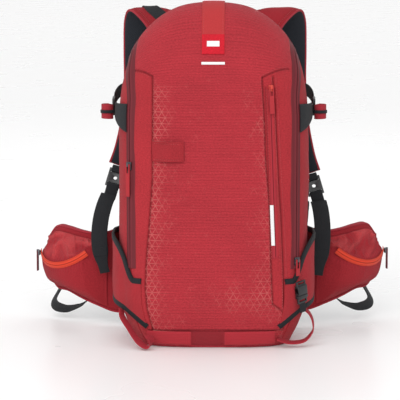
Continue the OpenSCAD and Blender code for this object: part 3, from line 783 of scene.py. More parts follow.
# ---- front fabric
# Seams are drawn on the front's own plane: x in millimetres and u up the front.
LEFT_SEAM = [(-90, 424), (-90, 350), (-90.5, 262), (-96, 190), (-101, 128), (-102.5, 96), (-99, 60), (-91, 27)]
RIGHT_SEAM = [(73, 420), (76, 357), (79, 284), (84, 230), (87, 145), (90, 70)]
PLACKET_EDGE = [(89, 424), (93, 350), (97, 284), (102, 205), (106, 120), (106.5, 57)]
PLACKET_FOOT = [(90, 70), (106.5, 57)]
RIGHT_FOOT_SEAM = [(106.5, 107), (106, 30)]
LID_LEFT = [(-117, 446), (-104, 436), (-90, 424)]
LID_RIGHT = [(112, 446), (92, 433), (73, 420)]
FOOT_SEAM = [(-96, 27), (-50, 28.5), (0, 29), (50, 28.5), (106, 27)]
SEAMS = (LEFT_SEAM, RIGHT_SEAM, PLACKET_EDGE, PLACKET_FOOT, RIGHT_FOOT_SEAM, LID_LEFT, LID_RIGHT, FOOT_SEAM)
POCKET_TOP, POCKET_LOW, POCKET_X, POCKET_LEAN = 400.0, 140.0, 84.0, 0.038


def pocket_x(z):
    return POCKET_X + (POCKET_TOP - z) * POCKET_LEAN


def front_relief(x, u, p):
    """How far the sewn fabric stands off the bag's plain surface."""
    h = 0.55 * ripples(p, 95, 1.0) + 0.22 * ripples(p, 38, 2.0)
    nearest = np.full(x.shape, 1e9)
    for k, seam in enumerate(SEAMS):
        d, along = polyline_distance(x, u, seam)
        a = np.abs(d)
        nearest = np.minimum(nearest, a)
        h += -1.5 * bump(a, 1.0)
        lip = 1.0 if k in (0, 1, 4) else -1.0
        h += 0.75 * bump(d * lip - 2.8, 2.2)
        h += 0.28 * np.exp(-a / 7.0) * np.sin(along * (2 * math.pi / 11.0) + 2.0 * np.sin(along / 23.0) + k)
    h += 1.8 * (1 - np.exp(-nearest / 16.0))
    slit = np.abs(x - pocket_x(u))
    inside = ease((u - POCKET_LOW) / 6) * ease((POCKET_TOP + 4 - u) / 6)
    h += inside * (-1.6 * bump(slit, 1.3) + 0.8 * bump(slit - 4.2, 2.2))
    return h


def seam_x(u, seam):
    """Where a seam crosses the height u."""
    up = seam[::-1]
    return np.interp(u, [p[1] for p in up], [p[0] for p in up])


def panel_mask(x, u):
    """1 in the middle ripstop panel, 0 at the sides, and how strongly the lattice is printed."""
    dl, _ = polyline_distance(x, u, LEFT_SEAM)
    dr, _ = polyline_distance(x, u, RIGHT_SEAM + [(106.5, 57), (106, 30)])
    middle = ((x > seam_x(u, LEFT_SEAM)) & (x < seam_x(u, RIGHT_SEAM + PLACKET_FOOT[1:] + [(106, 30)]))).astype(float)
    lid = LID_LEFT + LID_RIGHT[::-1]
    middle = np.where(u > np.interp(x, [p[0] for p in lid], [p[1] for p in lid]), 1.0, middle)
    ink = 1.0 * np.exp(-np.abs(dl) / 24.0) + 0.55 * np.exp(-np.abs(dr) / 22.0)
    ink += 0.5 * bump(u - 80, 28.0) * bump(x - 45, 60)
    ink *= ease((425 - u) / 30)
    return middle, np.clip(ink, 0, 1)


def seam_shadow(x, u):
    """1 in the stitched grooves and in the front pocket's slit, where the front's colour is darkened as painted
    shade.
    """
    dark = np.zeros(x.shape)
    for seam in SEAMS:
        dark = np.maximum(dark, bump(polyline_distance(x, u, seam)[0], 1.5))
    slit = bump(x - pocket_x(u) + 6.2, 1.2) * ease((u - POCKET_LOW) / 6) * ease((POCKET_TOP + 8 - u) / 6)
    return np.maximum(dark, slit)


FABRIC_T = 2.5
U_FOOT = 4.6
FOLD_HALF = 14.0


def front_fabric():
    rows, cols = 330, 200
    c = row(-1, 1, cols) * np.ones((rows, 1))
    r = column(0, 1, rows)
    u = mix(U_FOOT, top_line(c) - 0.5, r)
    share = c * (edge_share(u) - 0.004)
    flat = skin_x(u, share)
    normal = grid_normals(flat)
    x = flat[..., 0]
    rim = np.minimum(ease((1 - np.abs(c)) * 14), ease((top_line(c) - u) / 12)) * ease((u - U_FOOT) / 8)
    outer = flat + normal * (front_relief(x, u, flat) * rim)[..., None]
    inner = skin_x(u, share, -FABRIC_T)
    middle, ink = panel_mask(x, u)
    uv = flat_uv(x, u)
    # the seam attribute marks where painted shade darkens the front's colour
    marks = {"panel": middle, "print": ink, "seam": seam_shadow(x, u)}
    fabric = patch("front_fabric", outer, inner, "front lining", uv, marks)

    def on_front(line, offset, steps=14):
        pts = curve([(a, b) for a, b in line], steps)
        tan = unit(np.gradient(pts, axis=0))
        pts = pts + np.stack([tan[:, 1], -tan[:, 0]], -1) * offset
        base = on_skin(pts[:, 1], pts[:, 0])
        over = on_skin(pts[:, 1], pts[:, 0], 1.0)
        n = unit(over - base)
        return base + n * front_relief(pts[:, 0], pts[:, 1], base)[:, None], n

    threads = []
    for line, offset in ((LEFT_SEAM, -3.2), (RIGHT_SEAM, 3.0), (PLACKET_EDGE, -3.2), (PLACKET_EDGE, 2.6),
                         (RIGHT_FOOT_SEAM, 3.0), (PLACKET_FOOT, 2.6), (LID_LEFT, 3.0), (LID_RIGHT, 3.0)):
        threads.append(stitches("seam_thread", *on_front(line, offset)))
    for d in (-5.8, 5.8):
        line = [(pocket_x(z) + d, z) for z in np.linspace(POCKET_LOW - 4, POCKET_TOP + 3, 12)]
        threads.append(stitches("zip_thread", *on_front(line, 0)))
    join(fabric, [t for t in threads if t])
    front_y = SPINE_Y - FRONT_REACH
    put_between(fabric, "pack", "front_panel", (0, front_y, HINGE_Z - FOLD_HALF), (0, front_y, HINGE_Z + FOLD_HALF),
                "shell_fabric", "front_shell", "lower_front_panel")


front_fabric()


# ---- the rest of the bag
def side_gusset(side, name):
    low = np.concatenate([np.linspace(U_FOOT, 90, 26), np.linspace(94, DOME_Z, 60)])
    u = np.concatenate([low, np.linspace(DOME_Z, BACK_U, 90)[1:-1], END_U - low[::-1]])
    k = row(0, 1, 34)
    share = k * (edge_y(u) - 0.006)[:, None]
    flat = skin_y(u[:, None], side, share)
    normal = unit(skin_y(u[:, None], side, share, 1.0) - flat)
    rim = ease((1 - k) * 8) * ease((u[:, None] - U_FOOT) / 8) * ease((END_U - U_FOOT - u[:, None]) / 8)
    relief = 0.9 * ripples(flat, 120, 3 + side) + 0.35 * ripples(flat, 42, 5 + side)
    relief += 0.5 * np.sin(flat[..., 2] / 5.5 + 2 * np.sin(flat[..., 1] / 17)) * bump(1 - k, 0.12)
    outer = flat + normal * ((relief - 1.3) * rim)[..., None]
    inner = skin_y(u[:, None], side, share, -FABRIC_T - 1.3 * rim)
    uv = flat_uv(flat[..., 1], flat[..., 2])
    piece = patch("side_panel_" + name, outer, inner, "shell lining", uv, sharp=50)
    change_mesh(piece.data, lambda bm: bmesh.ops.dissolve_degenerate(bm, dist=0.01 * MM, edges=bm.edges))
    put(piece, "pack", "shell_fabric", "side_gusset_" + name)


both_sides(side_gusset)


def back_fabric():
    c = row(-1, 1, 110)
    r = column(0, 1, 240)
    u = mix(top_line(c) + 0.5, END_U - U_FOOT, r)
    share = c * (edge_share(u) + 0.003)
    flat = skin_x(u, share)
    normal = unit(skin_x(u, share, 1.0) - flat)
    rim = ease((1 - np.abs(c)) * 12) * ease((u - top_line(c)) / 12) * ease((END_U - U_FOOT - u) / 8)
    down = u - TOP_ZIP_U
    relief = 0.5 * ripples(flat, 110, 6) - 1.3 * bump(down - 92, 1.3) + 0.7 * bump(down - 96, 2.6)
    outer = flat + normal * (relief * rim)[..., None]
    uv = flat_uv(flat[..., 0], u)
    piece = patch("back_panel", outer, skin_x(u, share, -FABRIC_T), "back lining", uv)
    piece.data.materials.append(MAT["shell"])
    quads = (u.shape[0] - 1) * (c.shape[1] - 1)
    centre = 0.5 * (u[:-1, :-1] + u[1:, 1:]) + np.zeros((u.shape[0] - 1, c.shape[1] - 1))
    index = np.empty(len(piece.data.polygons), int)
    piece.data.polygons.foreach_get("material_index", index)
    index[:quads] = np.where(centre.ravel() < TOP_ZIP_U + 92, 2, 0)
    piece.data.polygons.foreach_set("material_index", index)
    put(piece, "pack", "lining_mesh", "back_fabric_panel")


back_fabric()


def base():
    phi = np.radians(np.linspace(0, 360, 145))
    n = np.where(np.sin(phi) < 0, FRONT_N, BACK_N)
    rho = (np.abs(np.cos(phi)) ** n + np.abs(np.sin(phi)) ** n) ** (-1 / n)
    w = HALF_W - FOOT_IN * float(foot(BASE_Z))
    depth = np.where(np.sin(phi) < 0, FRONT_REACH - FOOT_FRONT_IN * float(foot(BASE_Z)),
                     BACK_REACH - FOOT_BACK_IN * float(foot(BASE_Z)))
    outline = np.stack([w * rho * np.cos(phi), depth * rho * np.sin(phi)], -1)
    steps = [(0.02, 0.0), (0.3, 0.0), (0.6, 0.0), (0.85, 0.0), (0.94, 0.05), (0.965, 0.5), (0.982, 1.5),
             (0.992, 3.0), (0.995, 4.3)]
    outer = np.array([[(o[0] * k, SPINE_Y + o[1] * k, z) for o in outline] for k, z in steps])
    inner = np.array([[(o[0] * k * 0.985, SPINE_Y + o[1] * k * 0.985, z + 2.2 * (1 - 0.7 * i / 8)) for o in outline]
                      for i, (k, z) in enumerate(steps)])
    uv = outer[..., :2] * MM
    piece = patch("base", outer, inner, "web_red lining", uv, merge=0.05)
    put(piece, "pack", "shell_fabric", "base_panel")


base()


# ---- main zip
def zip_line():
    corner = float(top_line(np.array(1.0)))
    up = np.arange(HINGE_Z + 0.6, corner, 3.0)
    c_top = np.sin(np.radians(np.linspace(-90, 90, 121)))
    c = np.concatenate([-np.ones(len(up)), c_top, np.ones(len(up))])
    u = np.concatenate([up, top_line(c_top), up[::-1]])
    x = c * edge_share(u) * HALF_W
    tangent = unit(np.stack([np.gradient(x), np.gradient(u)], -1))
    return x, u, tangent[:, 1], -tangent[:, 0]


def zip_half(name, body, node, profile):
    x, u, nx, nu = zip_line()
    d = np.array([p[0] for p in profile])[None, :]
    lift = np.array([p[1] for p in profile])[None, :]
    px = (x[:, None] + nx[:, None] * d) / HALF_W
    uu = u[:, None] + nu[:, None] * d
    outer, inner = skin_x(uu, px, lift), skin_x(uu, px, 0.12)
    length = way_along(outer[:, 0])
    uv = flat_uv(d, length[:, None])
    put(patch(name, outer, inner, "zip", uv, sharp=60), body, "main_zip_tape", node)


zip_half("main_zip_front", "front_panel", "main_zip_front_tape",
         [(0.25, 0.3), (0.28, 1.5), (0.9, 2.2), (2.0, 2.1), (2.8, 1.3), (5.4, 1.4), (7.6, 1.2), (8.2, 0.3)])
zip_half("main_zip_rear", "pack", "main_zip_rear_tape",
         [(-6.0, 0.3), (-5.4, 1.1), (-2.8, 1.3), (-2.0, 2.1), (-0.9, 2.2), (-0.28, 1.5), (-0.25, 0.3)])


# ---- trim on the front panel
LABEL_U, LABEL_HALF, LABEL_RISE = 463.5, 16.4, 13


def centre_strip():
    half = 17.0
    x = np.concatenate([[-half, -half + 0.4], np.linspace(-half + 1.2, half - 1.2, 23), [half - 0.4, half]])[None, :]
    u = column(452, TOP_ZIP_U - 8, 90)
    edge = rounded(half - np.abs(x), 1.2)
    seam = bump(np.abs(x) - (half - 3.0), 0.6)
    lift = 2.6 + 1.4 * edge - 0.6 * seam + 0.25 * np.sin(u / 9.0)
    strip = applique("centre_strip_band", x, u, lift, 0.1, "strip")
    uu = np.linspace(455, TOP_ZIP_U - 12, 60)
    join(strip, [stitches("strip_thread", on_skin(uu, side * (half - 3.0), 3.4), outward(uu, side * (half - 3.0)))
                 for side in (LEFT, RIGHT)])
    put(strip, "front_panel", "shell_fabric", "centre_strip")
    bx = row(-LABEL_HALF, LABEL_HALF, 34)
    bu = column(LABEL_U - LABEL_RISE, LABEL_U + LABEL_RISE, 27)
    edge = rounded(np.minimum(LABEL_HALF - np.abs(bx), LABEL_RISE - np.abs(bu - LABEL_U)), 0.8)
    label = applique("label", bx, bu, 4.0 + 0.8 * edge, 3.0, "label")
    bars = []
    for half_w, low, high, off in ((9, 460, 467, 5.1), (17, 436.5, 440, 3.2)):
        mx = row(-half_w, half_w, 16)
        mu = column(low, high, 6)
        bars.append(applique("label_bar", mx, mu, off, off - 0.6, "pale"))
    put(join(label, bars), "front_panel", "shell_fabric")


def pocket_zip():
    half = np.array([(5.2, 0.25), (4.8, 0.9), (2.4, 1.2), (1.5, 1.6), (1.0, 1.5), (0.4, 0.2)])
    d, h = np.concatenate([half * (-1, 1), half[::-1]]).T[:, None]
    z = column(POCKET_LOW, POCKET_TOP, 110)
    x = pocket_x(z) + d
    piece = patch("pocket_zip", on_skin(z, x, h), on_skin(z, x, 0.1), "zip_red", flat_uv(d, z), sharp=60)
    put(piece, "front_panel", "bright_zip_tape", "front_pocket_zip")


KEEPER_L, KEEPER_R, KEEPER_Z, KEEPER_RISE = -90, -42, 301.5, 15


def keeper_rise(x):
    """The keeper's sleeve: it stands off the panel where an axe's shaft goes through."""
    return 1.6 + 6.5 * ease((x - KEEPER_L) / 30) * (1 - 0.55 * ease((x + 62) / 20))


def keeper():
    x = row(KEEPER_L, KEEPER_R, 49)
    z = column(KEEPER_Z - KEEPER_RISE, KEEPER_Z + KEEPER_RISE, 31)
    from_end = KEEPER_RISE - np.abs(z - KEEPER_Z)
    edge = rounded(np.minimum(np.minimum(x - KEEPER_L, KEEPER_R - x), from_end), 1.6)
    roll = 1.6 * bump(x + 46, 2.6) + 0.5 * np.sin(x / 5.0) * np.sin(z / 6.0)
    lift = keeper_rise(x) + 0.6 * edge + roll - 0.5 * bump(np.minimum(from_end, KEEPER_R - x) - 3, 0.7)
    tab = applique("shaft_keeper", x, z, lift, keeper_rise(x) - 0.9, "shell")
    xs = np.linspace(-88, -45, 40)
    rows = [stitches("keeper_thread", on_skin(zz, xs, keeper_rise(xs) + 0.4), outward(zz, xs), 2.2, 1.2)
            for zz in (289.6, 313.4)]
    join(tab, rows)
    put(tab, "front_panel", "shell_fabric", "axe_shaft_keeper")


BAR_X, BAR_LEAN, BAR_HALF, BAR_LOW, BAR_TOP = 79.5, 0.042, 2.4, 160, 221


def bright_bar():
    z = column(BAR_LOW, BAR_TOP, 40)
    across = row(-BAR_HALF, BAR_HALF, 7)
    x = BAR_X + (POCKET_TOP - z) * BAR_LEAN + across
    edge = rounded(BAR_HALF - np.abs(across), 1.0)
    put(applique("bright_bar", x, z, 1.6 + 0.5 * edge, 0.4, "pale"), "front_panel", "shell_fabric")


MAT["strip"] = cloth_material("strip_red", (0.385, 0.032, 0.035), thread=0.6, depth=0.1, heather_and_thread_shade=0.05, worn=0.05)
MAT["zip_red"] = zip_material("pocket_zip_red", (0.30, 0.018, 0.028), 0.6)
centre_strip()
pocket_zip()
keeper()
bright_bar()


# ---- bands, webbing and straps
def band(name, points, across, width, thick, mat, steps=12, scale=None):
    path = curve(points, steps) if steps else np.asarray(points, float)
    way = np.broadcast_to(np.asarray(across, float), path.shape)
    facing = np.cross(unit(np.gradient(path, axis=0)), way)
    return sweep(name, path, facing, flat_profile(width, thick), mat, scale, 50)


def mirrored(points, side):
    return [(side * p[0], p[1], p[2]) for p in points]


BASE_L, BASE_R, BASE_MID, BASE_HALF = -99, 93, 16, 11
BASE_GAP = (-31, 16)


def base_webbing():
    """The band round the foot, standing out in two stretches beside a plain gap."""
    x = row(BASE_L, BASE_R, 230)
    z = column(BASE_MID - BASE_HALF, BASE_MID + BASE_HALF, 15)
    raised = sum(ease((x - lo) / 2) * ease((hi - x) / 2) for lo, hi in ((BASE_L, BASE_GAP[0]), (BASE_GAP[1], BASE_R)))
    off = 1.0 + 2.4 * raised - sum(0.5 * bump(np.abs(x - at) - 5, 1.0) for at in (-33, 18))
    lift = off + 0.9 * rounded(BASE_HALF - np.abs(z - BASE_MID), 1.0) * (0.4 + 0.6 * raised) + 0.25 * np.sin(x / 6.0)
    piece = patch("base_band", on_skin(z, x, lift), on_skin(z, x, off - 0.9), "base_web", flat_uv(z, x),
                  {"raised": raised + 0 * z})
    put(piece, "pack", "red_webbing", "base_webbing")


MAT["base_web"] = web_material("base_webbing", (0.33, 0.018, 0.028), by="raised")
base_webbing()
AXE_RIGHT = [(98, -79, 14), (116, -80, 9), (138, -76, 11), (151, -68, 24), (152, -62, 38), (147, -61, 50),
             (140, -63, 57)]
AXE_LEFT = [(-140, -66, 57), (-138, -72, 46), (-128, -82, 32), (-118, -90, 18), (-108, -99, 9), (-98, -103, 6),
            (-94, -98, 14), (-98, -90, 20)]
put(band("axe_band_right", AXE_RIGHT, (0.1, 1, 0.25), 12, 2.0, "web_red"), "pack", "red_webbing", "axe_loop_right")
put(band("axe_band_left", AXE_LEFT, (0.45, 1, 0.4), 12, 2.0, "web_red"), "pack", "red_webbing", "axe_loop_left")
HAUL = [(-21, 94.5, 446), (-22, 96, 472), (-15, 100, 496), (0, 102, 504), (15, 100, 496), (22, 96, 472),
        (21, 94.5, 446)]
put(band("haul_band", HAUL, (0, 1, -0.2), 14, 2.4, "web_black"), "pack", "black_webbing", "haul_loop")


def band_low(t):
    return 33 + 52 * np.sin(np.radians(90 * t))


def band_high(t):
    return 104 + 62 * ease((t - 0.14) / 0.36)


def band_lift(t):
    return 0.5 + 7 * ease((t - 0.3) / 0.2) * ease((1 - t) / 0.25)


def band_point(side, t, k, lift):
    z = mix(band_low(t), band_high(t), k)
    off = lift + band_lift(t)
    turn = float(other(0.985, FRONT_N))
    if t < 0.45:
        return skin_x(z, side * mix(0.735, 0.985, t / 0.45), off)
    if t < 0.62:
        return skin_y(z, side, mix(turn, 0.02, (t - 0.45) / 0.17), off)
    return skin_y(END_U - z, side, mix(0.02, 0.68, (t - 0.62) / 0.38), off)


def ski_band(side, name):
    k = np.linspace(0, 1, 31)
    ts = np.concatenate([np.linspace(0, 0.45, 40), np.linspace(0.45, 0.62, 16)[1:], np.linspace(0.62, 1, 34)[1:]])
    edge = rounded(np.minimum(k, 1 - k), 1 / 40)
    outer = np.array([band_point(side, t, k, 1.1 + 0.9 * edge + 0.5 * np.sin(t * 26 + 5 * k)
                                 * ease(t / 0.1) * np.sin(math.pi * k)) for t in ts])
    inner = np.array([band_point(side, t, k, 0.0) for t in ts])
    body = patch("ski_band_" + name, outer, inner, "shell")
    trims = []
    for at in (0.0, 1.0):
        path = np.array([band_point(side, t, at, 1.15) for t in ts])
        out = unit(np.array([band_point(side, t, at, 2.15) for t in ts]) - path)
        trims.append(sweep("trim", path, out, flat_profile(8.5, 4.0, 1.3), "web_black"))
    join(body, trims)
    put(body, "pack", "shell_fabric", "ski_loop_" + name)


both_sides(ski_band)


ROLL_X, ROLL_Y, ROLL_Z, RING_R = 162.5, -13.5, 355, 10.6


def compression():
    """The straps at the upper sides: sewn tabs in front, webbing behind, and each tail rolled up in a ring."""
    tabs, webs, rolls = [], [], []
    for side in (LEFT, RIGHT):
        t = np.linspace(0, 1, 30)
        k = np.linspace(0, 1, 15)
        e = float(edge_y(np.array(340.0))) - 0.05

        def at(v, lift):
            z = mix(mix(328, 372, k), mix(353, 371, k), v)
            return skin_y(z, side, mix(e, 0.04, v), lift + 0.5 + 3 * ease(v))
        rim = rounded(np.minimum(k, 1 - k), 1 / 14)
        tabs.append(patch("tab", np.array([at(v, 1.2 + 0.9 * rim) for v in t]), np.array([at(v, 0.0) for v in t]),
                          "web_black"))
        points = mirrored([(137, 78, 386), (148, 58, 381), (153.5, 38, 373), (154, 16.5, 365)], side)
        webs.append(band("web", points, (0, -0.2, 1), 20, 1.6, "web_black"))
        angle = np.radians(np.arange(0, 360 * 3.3, 12))
        r = 2.4 + 2.2 * angle / (2 * math.pi)
        spiral = np.stack([side * (ROLL_X + r * np.cos(angle)), ROLL_Y + r * np.sin(angle),
                           ROLL_Z + 0.6 * np.sin(angle * 0.7)], -1)
        rolls.append(band("roll", spiral, (0, 0, 1), 22, 1.5, "web_red", 0))
        ring = [(side * ROLL_X + RING_R * math.cos(a), ROLL_Y + RING_R * math.sin(a), ROLL_Z)
                for a in np.radians(np.arange(0, 361, 15))]
        rolls.append(band("ring", ring, (0, 0, 1), 5, 1.0, "web_black", 0))
    put(join(tabs[0], tabs[1:]), "pack", "black_webbing", "compression_tabs")
    put(join(webs[0], webs[1:]), "pack", "black_webbing", "compression_webbings")
    put(join(rolls[0], rolls[1:]), "pack", "red_webbing", "compression_tails")


compression()
STRAP = [(60, 92.5, 428), (64, 98, 458), (77, 112, 486), (104, 140, 505), (115, 165, 486), (116, 176, 440),
         (118, 178, 386), (126, 170, 328), (138, 154, 282), (149, 140, 254)]
STRAP_ACROSS = [(1, 0, -0.05), (1, 0, -0.1), (1, 0.1, -0.1), (1, 0.35, 0), (1, 0.35, 0.15), (1, 0.2, 0.1),
                (1, 0.15, 0.05), (1, 0.1, 0.1), (1, 0, 0.25), (1, -0.1, 0.35)]
STRAP_T = 10.0


def shoulder_strap(side, name):
    drop = 0.0 if side == LEFT else -12.0
    points = [(side * x, y, z + drop * float(ease((i - 5) / 4))) for i, (x, y, z) in enumerate(STRAP)]
    path = curve(points, 14)
    across = unit(curve([(v[0], side * v[1], side * v[2]) for v in STRAP_ACROSS], 14))
    n = len(path)
    width = mix(64, 42, ease((np.arange(n) / (n - 1) - 0.5) / 0.5))
    tangent = unit(np.gradient(path, axis=0))
    normal = unit(np.cross(tangent, across))
    out = path - np.array([side * 100, 128, 400])
    if np.sum(normal * out) < 0:
        normal = -normal
    k = np.linspace(-1, 1, 41)
    crown = (1 - np.abs(k) ** 3.2) ** 0.6
    seam = bump(np.abs(k) - 0.80, 0.035)
    length = way_along(path)
    ends = ease(length / 9)[:, None] * ease((length[-1] - length) / 9)[:, None]
    face = (1.2 + (STRAP_T / 2 - 0.8) * crown) * mix(0.45, 1.0, ends)
    lie = path[:, None] + across[:, None] * (k[None, :, None] * width[:, None, None] / 2)
    wrinkle = 0.45 * ripples(lie, 34, 4 + side) * crown
    outer = lie + normal[:, None] * (face - 1.3 * seam + wrinkle)[..., None]
    under = lie - normal[:, None] * face[..., None]
    uv = flat_uv(k[None, :] * 30, length[:, None])
    strap = patch("strap_pad_" + name, outer, under, "belt mesh", uv)
    parts = []
    for e in (-1, 1):
        edge = path + across * (e * width[:, None] / 2)
        parts.append(sweep("piping", edge, normal, tube_profile(2.1, 12), "web_red"))
        line = path + across * (e * 0.80 * width[:, None] / 2) + normal * (STRAP_T / 2 - 1.2)
        parts.append(stitches("strap_thread", line, normal, 3.2, 2.0, 0.34))
    mid = slice(8 if side == LEFT else 62, n - 3)
    centre = path[mid] + normal[mid] * (STRAP_T / 2 + 1.0)
    parts.append(sweep("strap_webbing", centre, normal[mid], flat_profile(20, 1.6), "web_black"))
    join(strap, parts)
    put(strap, "shoulder_" + name, "shell_fabric", "shoulder_strap_" + name)


both_sides(shoulder_strap)


def adjuster_loops(side, name):
    """The webbing of the strap and of the tail, turned round the bars of the adjuster."""
    origin = np.array([side * 160.0, 128.0, 236.0 if side == LEFT else 224.0])
    down = unit(np.array([side * 0.3, -0.35, -1.0]))
    face = unit(np.cross(np.cross(down, np.array([0, -1.0, 0.3])), down))
    across = np.cross(down, face)
    loops = []
    for s in (-1, 1):
        end = 34 if s == 1 else 20
        turns = [(end, 2.2), (15, 4.0), (10.8, 3.6), (9.5, 0), (10.8, -3.6), (15, -4.0), (end, -2.2)]
        points = [origin + down * (s * a) + face * b for a, b in turns]
        loops.append(band("adjuster_loop", points, across, 19.5, 2.3, "web_black", 6))
    put(join(loops[0], loops[1:]), "shoulder_" + name, "black_webbing")


both_sides(adjuster_loops)
LEFT_TAIL = [(-170, 116, 211), (-176, 100, 196), (-181, 84, 174), (-183, 76, 146), (-180, 74, 116), (-174, 76, 90)]
RIGHT_TAIL = [(167, 113, 201), (170, 98, 188), (172, 83, 168), (172, 76, 142), (169, 74, 114), (165, 76, 87)]
ANCHOR = [(147, 120, 204), (146, 106, 190), (145, 93, 172), (144, 84, 148), (143, 78, 122), (143, 74, 98)]


def tail_and_anchor(side, name):
    rise = 12.0 if side == LEFT else 0.0
    points = LEFT_TAIL if side == LEFT else RIGHT_TAIL
    path = curve(points, 16)
    t = np.linspace(0, 1, len(path))
    scale = mix(1.0, 0.62, ease((t - 0.72) / 0.2))
    across = (1, side * 0.12, side * 0.1)
    tail = band("strap_tail_band_" + name, path, across, 26, 2.6, "web_black", 0, scale)
    start, stop = int(len(path) * 0.70), int(len(path) * 0.80)
    layer = band("layer", path[:stop] + np.array([0, 1.9, 0]), across, 24, 1.6, "web_black", 0)
    fold = band("fold", path[start:stop] - np.array([0, 1.4, 0]), across, 22, 1.4, "web_black", 0)
    join(tail, [layer, fold])
    put_between(tail, "pack", "shoulder_" + name, points[2], points[0], "black_webbing", "strap_tail_" + name)
    last = len(ANCHOR) - 1
    points = [(side * x, y, z + rise * (1 - float(ease(i / last)))) for i, (x, y, z) in enumerate(ANCHOR)]
    anchor = band("anchor_band_" + name, points, (side * 0.35, 1, 0.3), 20, 1.8, "web_black", 14)
    x, y, z = ANCHOR[2]
    put_between(anchor, "pack", "shoulder_" + name, (side * x, y, z + rise * 0.6), points[0], "black_webbing",
                "anchor_webbing_" + name)


both_sides(tail_and_anchor)


CHEST_X, CHEST_Y, CHEST_TOP, CHEST_LOW = 116.0, 189, 382, 302


def chest_web(side, name):
    z = np.linspace(CHEST_TOP, CHEST_LOW, 24)
    path = np.stack([np.full(z.shape, side * CHEST_X), CHEST_Y + 0.5 * np.sin(z / 9.0), z], -1)
    web = band("chest_band_" + name, path, (1, 0, 0), 16, 1.6, "web_black", 0)
    put(web, "chest_strap_" + name, "black_webbing", "chest_webbing_" + name)


both_sides(chest_web)


# ---- hip belt
WING_X, WING_Y, WING_R = 108.0, 94.0, 180.0
WING_ROOT, WING_ARC = -5.0, 62.0
WING_TOP = [188, 178, 160, 153, 155, 159, 158, 138]
WING_LOW = [30, 28, 28, 37, 46, 55, 57, 76]
LEFT_BELT = (-0.009, 0.0, -0.005)


def put_belt(obj, side, name, slot, *nodes):
    """As put, on one wing of the belt. The left half is sewn on a little further out and lower."""
    if side == LEFT:
        obj.data.transform(Matrix.Translation(LEFT_BELT))
    return put(obj, "hip_wing_" + name, slot, *nodes)


def wing_at(side, a, out, z):
    """A point on the belt's curve at an angle from the spine and a distance outside its outer face."""
    a, out, z = np.broadcast_arrays(*(np.asarray(v, float) for v in (a, out, z)))
    rad = np.radians(a)
    return np.stack([side * (WING_X + (WING_R + out) * np.sin(rad)), WING_Y + WING_R - (WING_R + out) * np.cos(rad),
                     z], -1)


def along(values, a):
    """A height given at even steps of the wing, at the angle a."""
    f = np.maximum(0, (np.asarray(a, float) - WING_ROOT) / (WING_ARC - WING_ROOT)) * (len(values) - 1)
    steps = 40
    table = curve([(v, 0) for v in values], steps)[:, 0]
    return np.interp(f, np.arange(len(table)) / steps, table)


def hip_wing(side, name):
    a = np.linspace(WING_ROOT, WING_ARC, 90)
    k = np.linspace(0, 1, 51)
    z = mix(along(WING_LOW, a)[:, None], along(WING_TOP, a)[:, None], k[None, :])
    inside = np.minimum(np.minimum(k, 1 - k)[None, :] * (along(WING_TOP, a) - along(WING_LOW, a))[:, None],
                        ((WING_ARC - a) * 3.1)[:, None])
    puff = rounded(inside, 9)
    flat = wing_at(side, a[:, None], 0, z)
    soft = 0.35 * ripples(flat, 46, 2 + side) - 0.6 * bump(inside - 9, 1.2)
    outer = wing_at(side, a[:, None], -3.6 + 3.2 * puff + soft * puff, z)
    inner = wing_at(side, a[:, None], -6.4 - 3.6 * puff, z)
    uv = flat_uv(np.radians(a[:, None]) * WING_R, z)
    wing = patch("wing_" + name, outer, inner, "belt mesh", uv)
    rim = np.concatenate([wing_at(side, a, -5, z[:, -1]), wing_at(side, WING_ARC, -5, z[-1, ::-1])[1:],
                          wing_at(side, a[::-1], -5, z[::-1, 0])[1:]])
    centre = wing_at(side, 30, -5, 110)
    out = unit(rim - centre)
    binding = sweep("binding", rim, out, flat_profile(8.6, 3.4, 1.5), "web_red")
    join(wing, [binding])
    put_belt(wing, side, name, "belt_fabric", "hip_wing_" + name)


ARC_CENTRE = np.array([216.0, 155.0, 152.0])
ARC_R, ARC_MID, ARC_TILT, ARC_FROM, ARC_TO = 72.0, 49.0, 46.0, -58.0, 46.0
SLIDER_AT = 42.0
POCKET_INNER, POCKET_FROM, POCKET_TO = 2.6, 18.0, 60.5


def arc_out(d):
    """The way out from the centre of the pocket zip's arc."""
    d = np.radians(np.asarray(d, float))
    m, t = math.radians(ARC_MID), math.radians(ARC_TILT)
    return np.stack([math.sin(m) * math.cos(t) * np.cos(d) + math.cos(m) * np.sin(d),
                     -math.cos(m) * math.cos(t) * np.cos(d) + math.sin(m) * np.sin(d),
                     -math.sin(t) * np.cos(d)], -1)


def arc_point(side, d, r):
    return (ARC_CENTRE + arc_out(d) * r) * np.array([side, 1, 1])


def pocket_section(side, s):
    a = mix(POCKET_FROM, POCKET_TO, s)
    d = mix(ARC_FROM - 4, ARC_TO + 3, s)
    rise = 0.8 + 2.2 * float(ease(s / 0.1))
    low = wing_at(side, a, rise, float(along(WING_LOW, a)) + 5)
    high = wing_at(side, a, rise, float(along(WING_TOP, a)) - 9)
    on_zip = arc_point(side, d, ARC_R - POCKET_INNER)
    flat = wing_at(side, a, rise + 1, on_zip[2])
    full = float(ease(s / 0.09) * ease((1 - s) / 0.07))
    crest = mix(flat, on_zip, full)
    belly = np.array([mix(low[0], crest[0], 0.86), mix(low[1], crest[1], 0.86), mix(low[2], crest[2], 0.36)])
    brow = mix(crest, high, 0.5) + np.array([0, -2, 4]) * full
    return curve([low, belly, crest, brow, high], 15)


